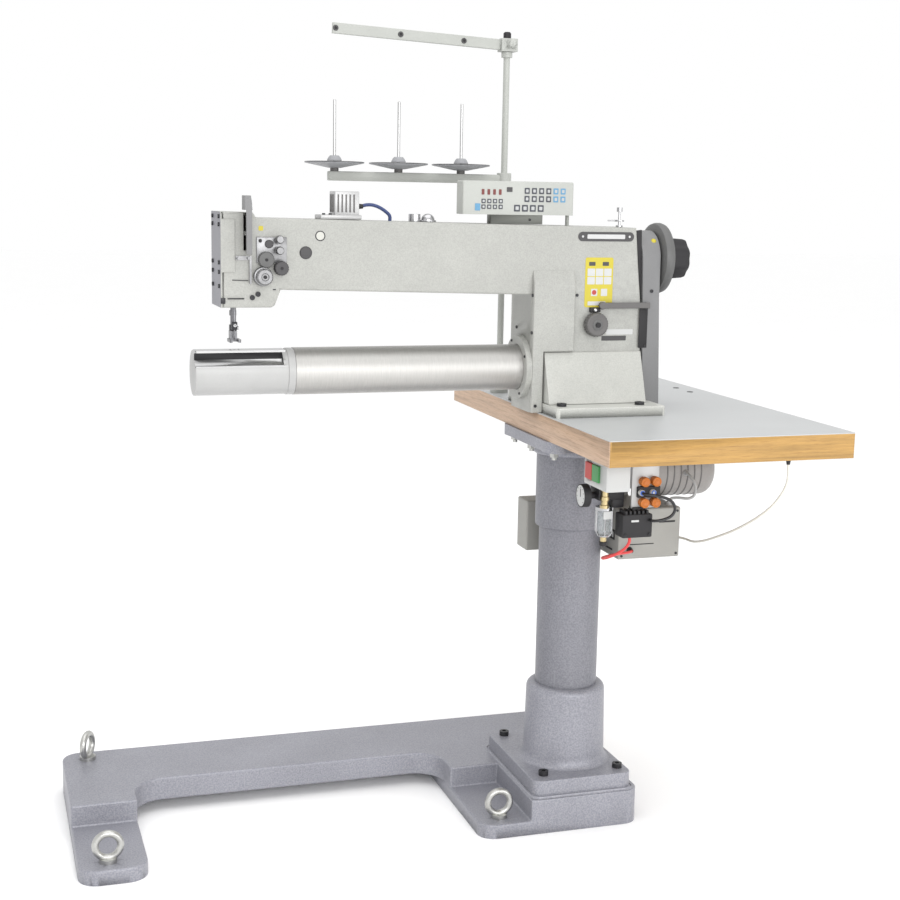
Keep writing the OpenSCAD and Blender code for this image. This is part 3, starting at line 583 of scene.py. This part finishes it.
def housing_paint(c, n):
    """Black on the wall inside the cut along the front of the hook housing, standing in for the shade and
    dark works in that recess (partly painted shade), and a paler ledge.
    """
    if -48 < c.y < -19 and c.z > 988 and c.x < -631:
        return 2 if n.z > 0.3 else 1
    return 0


def make_body():
    rounded("table_board", "table_board_body", ["oak_front", "oak_side", "board"], 0.8, paint=table_paint,
            keep=lambda m, l: m.z < 836 and l > 20)
    # The plinth takes a lighter copy of the cream enamel: painted light.
    rounded("bed_plinth", "plinth_body", "cream_plinth", 1.6, keep=lambda m, l: m.z > 886)
    rounded("arm_casting", "arm_body", "cream", 4.0, segments=4,
            keep=lambda m, l: l > 30 and abs(m.y) > 50 and m.z > 907
            and not (m.y < -50 and m.z < 1000 and m.x > -96)
            and not (m.y < -50 and -724 < m.x < -696 and 1150 < m.z < 1262))
    rounded("drive_cover", "drive_cover_body", "cream", 3.0, keep=lambda m, l: l > 8)
    # The front cover takes a lighter copy of the cream enamel: painted light.
    rounded("front_cover", "front_cover_body", "cream_low", 2.0, keep=lambda m, l: m.y < -55 and l > 8)
    # The face plate's left face gets the dark side material: painted shade.
    rounded("face_plate", "face_plate_body", ["cream", "side"], 1.0,
            paint=lambda c, n: 1 if n.x < -0.7 else 0)
    rounded("bed_flange", "bed_flange_body", "cream", 1.5, keep=lambda m, l: m.x < -130)
    rounded("hook_housing", "hook_housing_body", ["housing", "black", "steel"], 1.2, paint=housing_paint,
            keep=lambda m, l: math.hypot(m.y, m.z - 974) > 43 and (m.x < -803 or m.x > -623))
    rounded("belt_guard", "belt_guard_body", "guard", 1.5, keep=lambda m, l: l > 2 and m.z > 890)
    rounded("take_up_guard", "take_up_guard_body", "guard", 0.7)
    rounded("oil_filler", "oil_filler_body", "chrome", 0.6, segments=2)
    rounded("pretension_post", "pretension_post_body", "chrome", 0.4, segments=2)
    rounded("control_panel", "control_panel_body", "panel", 3.0, keep=lambda m, l: m.z > 1289 and l > 5)
    rounded("reverse_lever", "reverse_lever_bar", "mid_grey", 1.2)
    rounded("guide_arm", "guide_arm_body", "panel", 1.2, keep=lambda m, l: l > 12)


def make_under_table():
    rounded("control_box", "control_box_body", "case", 4.0, keep=lambda m, l: m.z < 690 and l > 5)
    rounded("rear_box", "rear_box_body", "case", 4.0, keep=lambda m, l: m.y > 99 and l > 5)
    rounded("switch_box", "switch_box_body", "switch", 2.0, keep=lambda m, l: l > 40)
    rounded("start_button", "start_button_cap", "green", 1.2)
    rounded("stop_button", "stop_button_cap", "red", 1.2)
    rounded("motor", "motor_shell", "motor", 1.5, keep=lambda m, l: m.z < 800)


def plate_outline(x0, z0, x1, z1, r, steps=6):
    """Rectangle with round corners as a list of (x, z)."""
    out = []
    corners = ((x1 - r, z1 - r, 0), (x0 + r, z1 - r, 90), (x0 + r, z0 + r, 180), (x1 - r, z0 + r, 270))
    for cx, cz, start in corners:
        for i in range(steps + 1):
            t = math.radians(start + 90 * i / steps)
            out.append((cx + r * math.cos(t), cz + r * math.sin(t)))
    return out


# ---------------------------------------------------------------- handwheel and guard trim

# Places on the machine, in millimetres.
SHAFT = (0, 0, 1200)
MOTOR_AXIS_Z = 745
ARM_FRONT = -54.0
STITCH_DIAL = (16, 0, 1066)
TENSION_DIAL = (-676, 0, 1164)
NEEDLE_X = -722


def make_handwheel():
    w = Piece("handwheel_rim", "main_shaft", ["wheel", "silver", "black"], "wheel_paint", ("handwheel",))
    w.turned([(152, 9.2), (152, 21), (163.5, 21), (164, 50), (165.5, 66), (168.5, 72), (174, 74), (181, 74),
              (186.5, 72), (190, 66), (190.5, 59), (187, 54), (185.5, 46), (185.5, 9.2)],
             SHAFT, "X", 72, closed=True)
    w.index = 1
    w.turned([(137.1, 9.2), (137.1, 52), (138, 53), (140.1, 53), (140.6, 46), (145, 45), (147, 45),
              (151.4, 46), (151.9, 53), (154, 53), (154.9, 52), (154.9, 9.2)], SHAFT, "X", 64, closed=True)
    w.index = 2
    w.turned([(185.6, 40), (186.5, 45), (189, 45.8), (230, 43), (236, 41), (239.5, 35), (240.8, 27),
              (240.8, 12), (239.5, 8), (239.5, 1.5)], SHAFT, "X", 96, ripple=8, depth=3.2)
    return w.done()


def make_guard_trim():
    g = Piece("guard_trim", "carriage", ["black", "label_yellow", "black_steel"], "dark_cover")
    g.prism([(106, 1258), (117.5, 1260), (122.4, 1118), (120.6, 1117), (112.6, 1190)], "Y", -52, -44)
    # A thin black sheet in front of the guard stands in for the dark gap between the casting and the guard:
    # painted shade.
    g.box((116, -58.9, 1016), (135, -57.9, 1102), 0.4)
    g.index = 1
    g.turned([(4, 6), (0, 6), (-2.6, 5), (-4, 3), (-4.5, 0.6)], (149, -43, 1236), "Y", 28)
    g.index = 2
    g.socket_screw((142, -58, 1134), "Y", 3.6, 2.2, -1)
    for z in (1020, 1098):
        g.socket_screw((131, -58.9, z), "Y", 2.2, 1.2, -1)
    return g.done()


# ---------------------------------------------------------------- plates, labels and dial on the arm

def make_labels():
    """Blank plates: a name plate, a coloured notice with empty fields, and two small stickers."""
    p = Piece("arm_plates", "carriage", ["plate_grey", "silver", "label_yellow", "label_white", "red"],
              "dark_plate")
    front = ARM_FRONT
    p.prism(plate_outline(-25, 1236, 99, 1255, 9.4), "Y", front - 0.9, front + 0.2)
    p.index = 1
    for x in (-15, 89):
        p.rod((x, front - 1.5, 1245.5), "Y", 0.8, 2.4)
    p.prism(plate_outline(-5, 1241, 79, 1250, 2), "Y", front - 1.15, front - 0.8)
    p.index = 2
    p.prism(plate_outline(-7, 1101, 55, 1203, 4), "Y", front - 0.5, front + 0.2)
    p.index = 3
    for row in range(2):
        for col in range(3):
            x, z = -2 + col * 18.4, 1148 + row * 17
            p.prism(plate_outline(x, z, x + 16.6, z + 15.4, 1.2), "Y", front - 0.8, front - 0.4)
    for x in (7, 29):
        p.prism(plate_outline(x, 1124, x + 14, 1139, 1.2), "Y", front - 0.8, front - 0.4)
    p.prism(plate_outline(0, 1105, 40, 1113, 1.2), "Y", front - 0.8, front - 0.4)
    p.prism(plate_outline(44, 1044, 104, 1055, 1.2), "Y", front - 0.5, front + 0.2)
    p.index = 4
    p.rod((14, front - 1.1, 1131.5), "Y", 0.5, 5)
    p.index = 0
    p.prism(plate_outline(34, 1031.5, 89, 1041.5, 1.2), "Y", front - 0.5, front + 0.2)
    for x in (10, 40):
        p.prism(plate_outline(x - 9, 1186, x + 5, 1194, 1), "Y", front - 0.7, front - 0.4)
    return p.done()


def make_stitch_dial():
    d = Piece("stitch_dial_knob", "stitch_dial", ["mid_grey", "black", "wheel"], "dark_dial",
              ("stitch_dial",))
    d.turned([(-58, 23.5), (-59, 25), (-72, 25), (-75, 23.5), (-76, 21), (-75.4, 18), (-75.4, 1)],
             STITCH_DIAL, "Y", 108, ripple=27, depth=1.1)
    d.index = 2
    d.turned([(-75.2, 11), (-76.4, 11), (-76.8, 10), (-76.8, 7)], STITCH_DIAL, "Y", 40)
    d.index = 1
    for y, length, radius in ((-80, 4, 5.4), (-59, 25, 4.9)):
        d.rod((STITCH_DIAL[0], y, STITCH_DIAL[2]), "Y", length, radius)
    return d.done()


def make_dial_index():
    d = Piece("stitch_dial_index", "carriage", ["black", "chrome"], "dark_dial")
    d.box((4, -62, 1091), (27, -54, 1101), 1.5)
    d.index = 1
    d.turned([(-67, 1), (-66.5, 3), (-64, 4.2), (-61, 3.8)], (14, 0, 1096), "Y", 24)
    return d.done()


# ---------------------------------------------------------------- needle head

def make_tension_set():
    t = Piece("tension_plate_set", "carriage", ["dull_chrome", "black", "plate_grey", "wheel"], "chrome_trim",
              ("tension_plate",))
    t.box((-688, -57, 1190), (-629, -54.1, 1239), 1.2)
    for z in (1214, 1235):
        t.rod((-646, -69, z), "Y", 12, 3)
        t.turned([(-66, 7.6), (-66.6, 8), (-78, 8), (-80, 6.6), (-80, 1)], (-646, 0, z), "Y", 72,
                 ripple=18, depth=0.7)
    t.turned([(-54.1, 18.5), (-62, 18.5), (-63.4, 17.6), (-64, 16), (-64, 1)], TENSION_DIAL, "Y", 48)
    t.index = 1
    t.rod((TENSION_DIAL[0], -88, TENSION_DIAL[2]), "Y", 28, 3)
    t.rod((-681, -59, 1232), "Y", 2.4, 3.4)
    t.rod((-641, -71, 1180), "Y", 1.6, 3)
    t.rod((-670, -67, 1196), "Y", 1.4, 3)
    t.index = 2
    t.turned([(-57, 8), (-62, 8), (-63, 6.8), (-63, 1)], (-664, 0, 1226), "Y", 32)
    t.turned([(-54.1, 14), (-68, 14), (-70, 12.4), (-70, 1)], (-641, 0, 1180), "Y", 72, ripple=18, depth=0.8)
    t.index = 3
    t.turned([(-57, 16), (-64, 16), (-66, 14.4), (-66, 1)], (-670, 0, 1196), "Y", 96, ripple=24, depth=0.9)
    return t.done()


def make_tension_nut():
    n = Piece("tension_nut_knob", "tension_nut", ["dull_chrome"], "chrome_trim", ("tension_nut",))
    n.turned([(-68, 3.3), (-68, 14.8), (-69, 16), (-81.5, 16), (-84, 13.8), (-84, 7.5), (-82.4, 6.4),
              (-82.4, 3.3)], TENSION_DIAL, "Y", 96, ripple=24, depth=1.0, closed=True)
    return n.done()


def make_head_trim():
    h = Piece("head_trim", "carriage", ["black_steel", "plate_grey", "pale_trim", "label_yellow", "black"],
              "black_screw")
    for x, z in ((-696, 1123.5), (-685, 1130)):
        h.socket_screw((x, -54, z), "Y", 5, 3, -1)
    h.box((-757, -57.5, 1112), (-748, -54, 1123), 1)
    h.tube([(-743, -53, 1121.5), (-743, -56, 1121.5), (-712, -56, 1121.5), (-712, -53, 1121.5)], 1.2, 8)
    h.tube([(-734, -53, 1157), (-734, -56, 1157), (-704, -56, 1156), (-704, -53, 1156)], 0.8, 8)
    h.box((-656, -54.6, 1137.5), (-650, -53.5, 1140), 0.3)
    h.turned([(-54.4, 8.2), (-54.4, 10), (-53.5, 10), (-53.5, 8.2)], (-563, 0, 1242), "Y", 32, closed=True)
    h.index = 1
    h.turned([(-53.5, 12.4), (-54.6, 12.4), (-56.4, 10.5), (-57.2, 6), (-57.4, 1)], (-591.5, 0, 1209.5),
             "Y", 36)
    h.index = 2
    h.rod((-563, -54.6, 1242), "Y", 1, 8)
    h.index = 3
    h.prism(plate_outline(-683.5, 1251, -674.5, 1260, 2), "Y", -54.4, -53.8)
    return h.done()


def make_needle_clamp():
    c = Piece("needle_clamp", "needle_bar", ["black_steel", "steel"], "chrome_trim")
    c.box((NEEDLE_X - 5.5, -6.5, 1057), (NEEDLE_X + 5.5, 5.5, 1073), 2)
    c.index = 1
    c.socket_screw((NEEDLE_X, -6.5, 1066), "Y", 3.2, 4.5, -1)
    return c.done()


def make_presser_trim():
    c = Piece("presser_clamp", "presser_bar", ["black_steel", "steel"], "chrome_trim")
    c.box((NEEDLE_X - 6.5, 9, 1052), (NEEDLE_X + 6.5, 24.5, 1066), 1.6)
    c.index = 1
    c.socket_screw((NEEDLE_X + 6.5, 16, 1059), "X", 3.4, 4.5)
    return c.done()


# ---------------------------------------------------------------- control panel and fittings on the arm

def make_panel_face():
    """Display digits are plain bars and the keys are blank."""
    lo, hi = (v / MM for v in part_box("control_panel"))
    height, front = 67, lo.y
    p = Piece("panel_keys", "carriage", ["key_dark", "led", "key_blue", "key_white", "plate_grey"],
              "panel_plastic")

    def key(u, v, w, h, material, proud=0.8):
        x, z = lo.x + u * (hi.x - lo.x), hi.z - v * height
        p.index = material
        outline = plate_outline(x - w / 2, z - h / 2, x + w / 2, z + h / 2, 1.0, 3)
        p.prism(outline, "Y", front - proud, front + 0.2)

    for i in range(4):
        u = 0.178 + 0.051 * i
        key(u, 0.33, 5.6, 11, 1)
        for v in (0.60, 0.77):
            key(u + 0.006, v, 8.6, 8.6, 0)
            key(u + 0.006, v, 4.4, 4.4, 3, 1.1)
    key(0.132, 0.78, 11, 14, 2)
    key(0.415, 0.25, 12, 9.5, 4)
    for col in range(6):
        for v in (0.28, 0.52):
            key(0.573 + 0.0655 * col, v, 10.6, 12, 2 if col > 3 else 0)
            key(0.573 + 0.0655 * col, v, 5.4, 6, 3, 1.1)
    for i in range(4):
        key(0.485 + 0.0715 * i, 0.80, 12.6, 13.4, 0)
        key(0.485 + 0.0715 * i, 0.80, 6.8, 7, 3, 1.1)
    p.index = 4
    p.socket_screw((lo.x + 150, -12, 1277), "Y", 2.6, 1.5, -1)
    return p.done()


def make_solenoid_box():
    b = Piece("solenoid_box_body", "carriage", ["silver", "mid_grey", "black_steel"], "silver_shell",
              ("solenoid_box",))
    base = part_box("solenoid_box")[0].z / MM
    b.box((-556, -28, base), (-474, 28, base + 9), 1.5)
    b.box((-527, -24, base + 8), (-478, 24, 1328), 1.6)
    b.index = 1
    for x in range(-522, -482, 8):
        b.box((x, -25, base + 14), (x + 3, -23.5, 1322), 0.4)
    for y in (-16, -6, 4, 14):
        b.box((-528, y, base + 14), (-526.5, y + 3, 1322), 0.4)
    b.index = 2
    for x in (-548, -535):
        b.socket_screw((x, -17, base + 9), "Z", 3.2, 3)
    return b.done()


# ---------------------------------------------------------------- thread stand

ROD = (-76, 262)
PINS = (-461, -319, -177)
GUIDE_ARM = 1648
GUIDE_RISE = math.tan(math.radians(2.7))      # the guide arm climbs towards its tip


def make_spool_arm():
    s = Piece("spool_arm_body", "spool_arm", ["panel", "mid_grey", "seat", "gloss_black", "steel"],
              "spool_dark", ("spool_arm",))
    s.box((PINS[0] - 14, ROD[1] - 10, 1350), (ROD[0] - 12, ROD[1] + 10, 1370), 2.5)
    s.turned([(0, 7.2), (0, 15), (1, 16), (27, 16), (28, 15), (28, 7.2)], (*ROD, 1346), "Z", 40, closed=True)
    for x in PINS:
        at = (x, ROD[1], 0)
        s.index = 1
        s.turned([(1369, 8.4), (1371, 9), (1377, 9)], at, "Z", 28)
        s.index = 2
        s.turned([(1377, 9), (1377, 14), (1387, 63.4), (1388.5, 63.8), (1388.5, 9)], at, "Z", 64, closed=True)
        s.turned([(1391, 4), (1391, 15), (1393, 16), (1399, 13), (1403, 9.5), (1403, 4)], at, "Z", 40,
                 closed=True)
        s.index = 3
        s.turned([(1388.6, 9), (1388.6, 64), (1389.8, 64.2), (1390.8, 60), (1391, 13), (1391, 9)], at, "Z",
                 64, closed=True)
        s.index = 4
        s.rod((x, ROD[1], 1391), "Z", 129, 3.2, 1.2, 20)
    return s.done()


def make_guide_trim():
    g = Piece("guide_eyelets", "guide_arm", ["plate_grey", "black"], "arm_paint")
    for x in PINS:
        z = GUIDE_ARM + GUIDE_RISE * (ROD[0] - x)
        g.index = 0
        g.turned([(-7.6, 3), (-7.6, 5.2), (-6.8, 6), (-5.8, 6), (-5.8, 3)], (x, ROD[1], z), "Y", 28,
                 closed=True)
        g.index = 1
        g.rod((x, ROD[1] - 6.4, z), "Y", 0.6, 3.1)
    return g.done()


def make_rod_cap():
    c = Piece("rod_cap", "carriage", ["black"], "steel")
    c.turned([(0, 6.8), (1, 8.4), (11, 8.4), (14, 6), (14.6, 1)], (*ROD, 1662.2), "Z", 40,
             ripple=10, depth=0.7)
    return c.done()


# ---------------------------------------------------------------- fittings under the table

def make_regulator():
    r = Piece("air_regulator_set", "carriage",
              ["black", "label_white", "brass", "clear", "chrome", "pale_trim"], "black_plastic",
              ("air_regulator",))
    dial = (-82, -244, 746)
    bowl = (-34, -254, 0)
    r.turned([(1.4, 20.4), (0.2, 21.2), (0, 22.2), (1, 23), (15, 23), (15, 1)], dial, "X", 56)
    r.rod((-68, -244, 746), "X", 18, 7)
    r.box((-52, -266, 738), (4, -222, 770), 3)
    r.box((-22, -264, 722), (4, -224, 740), 3)
    r.box((-40, -250, 768), (-10, -244, 835), 1)
    r.rod((-34, -254, 645), "Z", 8, 7.4)
    for i in range(9):
        t = math.radians(225 - 33.75 * i)
        y, z = dial[1] - 16.5 * math.cos(t), dial[2] + 16.5 * math.sin(t)
        r.box((-82, y - 0.8, z - 0.8), (-81.2, y + 0.8, z + 0.8), 0.1)
    r.box((-82.2, -245, 744), (-81.4, -243, 760), 0.2)
    r.index = 1
    r.rod((-81.6, -244, 746), "X", 1.6, 20.8, 0.1, 48)
    r.prism(plate_outline(-43, 702, -25, 717, 1.5), "Y", -272.6, -270.8)
    r.index = 2
    r.turned([(724, 9), (730, 9), (731, 7), (739, 7), (740, 9), (747, 9), (748, 7), (757, 7), (758, 8.5),
              (764, 8.5)], (-40, -268, 0), "Z", 32)
    r.turned([(652, 5), (654, 6), (662, 6), (664, 8)], bowl, "Z", 28)
    r.index = 3
    r.turned([(664, 7), (667, 13), (673, 16.6), (722, 16.8), (724, 16), (724, 14), (676, 14), (670, 8),
              (668, 5)], bowl, "Z", 40, closed=True)
    r.index = 4
    r.turned([(718, 15.4), (718, 18), (724, 18), (724, 15.4)], bowl, "Z", 40, closed=True)
    r.turned([(664, 7), (664, 12), (668, 15), (668, 7)], bowl, "Z", 40, closed=True)
    for k in range(6):
        t = math.radians(60 * k + 15)
        x, y = bowl[0] + 17.6 * math.cos(t), bowl[1] + 17.6 * math.sin(t)
        toe = (bowl[0] + 13.5 * math.cos(t), bowl[1] + 13.5 * math.sin(t), 667)
        r.tube([toe, (x, y, 674), (x, y, 719)], 1.3, 8)
    return r.done()


def make_valves():
    v = Piece("valve_block_set", "carriage",
              ["silver", "orange", "black", "blue_ring", "label_white", "black_steel"], "valve_metal",
              ("valve_block",))
    v.box((10, -284, 724), (68, -279, 835), 1)
    v.index = 1
    for x in (33, 57):
        for z in (736, 778):
            v.turned([(17, 9.4), (2.4, 10), (0.6, 9.4), (0, 7.8), (1.2, 6), (1.6, 1)], (x, -300, z), "Y", 48,
                     ripple=12, depth=0.6)
            v.rod((x, -299.4, z), "Y", 2, 3)
    v.index = 2
    v.box((20, -292, 746), (68, -283, 768), 1.5)
    v.box((-14, -300, 668), (50, -262, 715), 3)
    for x in range(-8, 46, 9):
        v.box((x, -298, 714), (x + 5, -268, 722), 1)
    v.box((12, -286, 712), (40, -270, 727), 1.5)
    v.index = 4
    for x in (26, 50):
        v.turned([(17, 6), (1, 6), (0, 5.2), (0, 3.2)], (x, -300, 757), "Y", 28)
    v.prism(plate_outline(4, 700, 20, 704, 0.8), "Y", -300.8, -299.6)
    v.index = 3
    for x in (26, 50):
        v.turned([(-2, 3.2), (-2, 4.4), (-1, 5), (0.4, 5), (0.4, 3.2)], (x, -300, 757), "Y", 28, closed=True)
    v.index = 5
    for x, z in ((16, 828), (62, 828), (-8, 674), (44, 674)):
        v.socket_screw((x, -284 if z > 800 else -300, z), "Y", 3, 2, -1)
    return v.done()


def make_box_trim():
    b = Piece("control_box_trim", "carriage", ["black", "mid_grey", "black_steel", "label_white"],
              "black_screw")
    b.box((171, -80.6, 643.5), (208, -79.5, 647.5), 0.3)
    b.box((96, -80.6, 598), (160, -79.5, 600), 0.2)
    b.box((77.4, -60, 606), (78.6, 40, 628), 0.6)
    b.box((77.4, -50, 581), (78.6, -10, 585), 0.3)
    b.index = 3
    for y in range(-54, 36, 12):
        b.box((76.9, y, 611), (77.6, y + 6, 623), 0.2)
    b.index = 2
    for x in (86, 213):
        for z in (575, 668):
            b.socket_screw((x, -80, z), "Y", 2.6, 1.6, -1)
    b.index = 1
    for x in (196, 212, 228, 244, 260, 276):
        b.turned([(0, 57.4), (0, 58.8), (2.4, 58.8), (2.4, 57.4)], (x, 0, MOTOR_AXIS_Z), "X", 64, closed=True)
    return b.done()


def make_reliefs():
    """Tapered reliefs and glands where the cords leave their housings."""
    r = Piece("cord_reliefs", "carriage", ["black", "grey_sheath"], "black_plastic")

    def relief(at, axis, sign, radius, hole):
        r.turned([(0, radius), (sign * 3, radius), (sign * 4, radius * 0.8), (sign * 13, hole + 0.7),
                  (sign * 13, hole), (0, hole)], at, axis, 24, closed=True)

    relief((221, -50, 602), "X", 1, 6, 2.6)
    relief((285, -400, 835), "Z", -1, 6, 2.6)
    relief((104, -80, 588), "Y", -1, 6.5, 3.1)
    relief((-478, 0, 1299), "X", 1, 7, 3.6)
    r.index = 1
    relief((204, -56, 676), "Z", 1, 6.5, 3.1)
    relief((240, -58, 745), "Y", -1, 6.5, 3.1)
    return r.done()


def make_table_inserts():
    t = Piece("table_inserts", "carriage", ["plate_grey"], "laminate")
    for y in (261, 188):
        t.turned([(0, 7.4), (0.9, 7), (1.1, 5.2), (0.5, 3), (0.5, 1)], (366, y, 884.9), "Z", 32)
    return t.done()


for node_name, material_name in COATS.items():
    coat(node_name, material_name)
make_stand()
make_body()
make_under_table()
for make in (make_handwheel, make_guard_trim, make_labels, make_stitch_dial, make_dial_index,
             make_tension_set, make_tension_nut, make_head_trim, make_needle_clamp, make_presser_trim,
             make_panel_face, make_solenoid_box, make_spool_arm, make_guide_trim, make_rod_cap,
             make_regulator, make_valves, make_box_trim, make_reliefs, make_table_inserts):
    make()


# ---------------------------------------------------------------- floor and light

def add_floor():
    mesh = bpy.data.meshes.new("floor")
    s = 30
    mesh.from_pydata([(-s, -s, 0), (s, -s, 0), (s, s, 0), (-s, s, 0)], [], [(0, 1, 2, 3)])
    mesh.materials.append(finish_material("pale_floor", (0.995, 0.995, 0.995), 1.0, vary=0.004, scale=2,
                                          grain=60, relief=0.00001, rough_spread=0.0))
    floor = bpy.data.objects.new("floor", mesh)
    scene.collection.objects.link(floor)


def add_light(name, place, aim, size, power):
    data = bpy.data.lights.new(name, "AREA")
    data.shape = "RECTANGLE"
    data.size, data.size_y = size
    data.energy = power
    obj = bpy.data.objects.new(name, data)
    obj.location = place
    obj.rotation_euler = (Vector(aim) - Vector(place)).to_track_quat("-Z", "Y").to_euler()
    scene.collection.objects.link(obj)


add_floor()
world = bpy.data.worlds.new("studio")
world.use_nodes = True
world.node_tree.nodes["Background"].inputs["Color"].default_value = (1, 1, 1, 1)
world.node_tree.nodes["Background"].inputs["Strength"].default_value = 1.0
scene.world = world
scene.view_settings.view_transform = "Standard"
add_light("key", (-0.6, -4.6, 2.0), (-0.2, 0, 0.9), (3.4, 1.8), 86)
add_light("top", (-0.4, -0.6, 4.2), (-0.4, 0, 0), (4.0, 4.0), 62)
add_light("fill", (2.0, -3.6, 0.9), (0.0, 0, 0.8), (1.6, 1.6), 25)
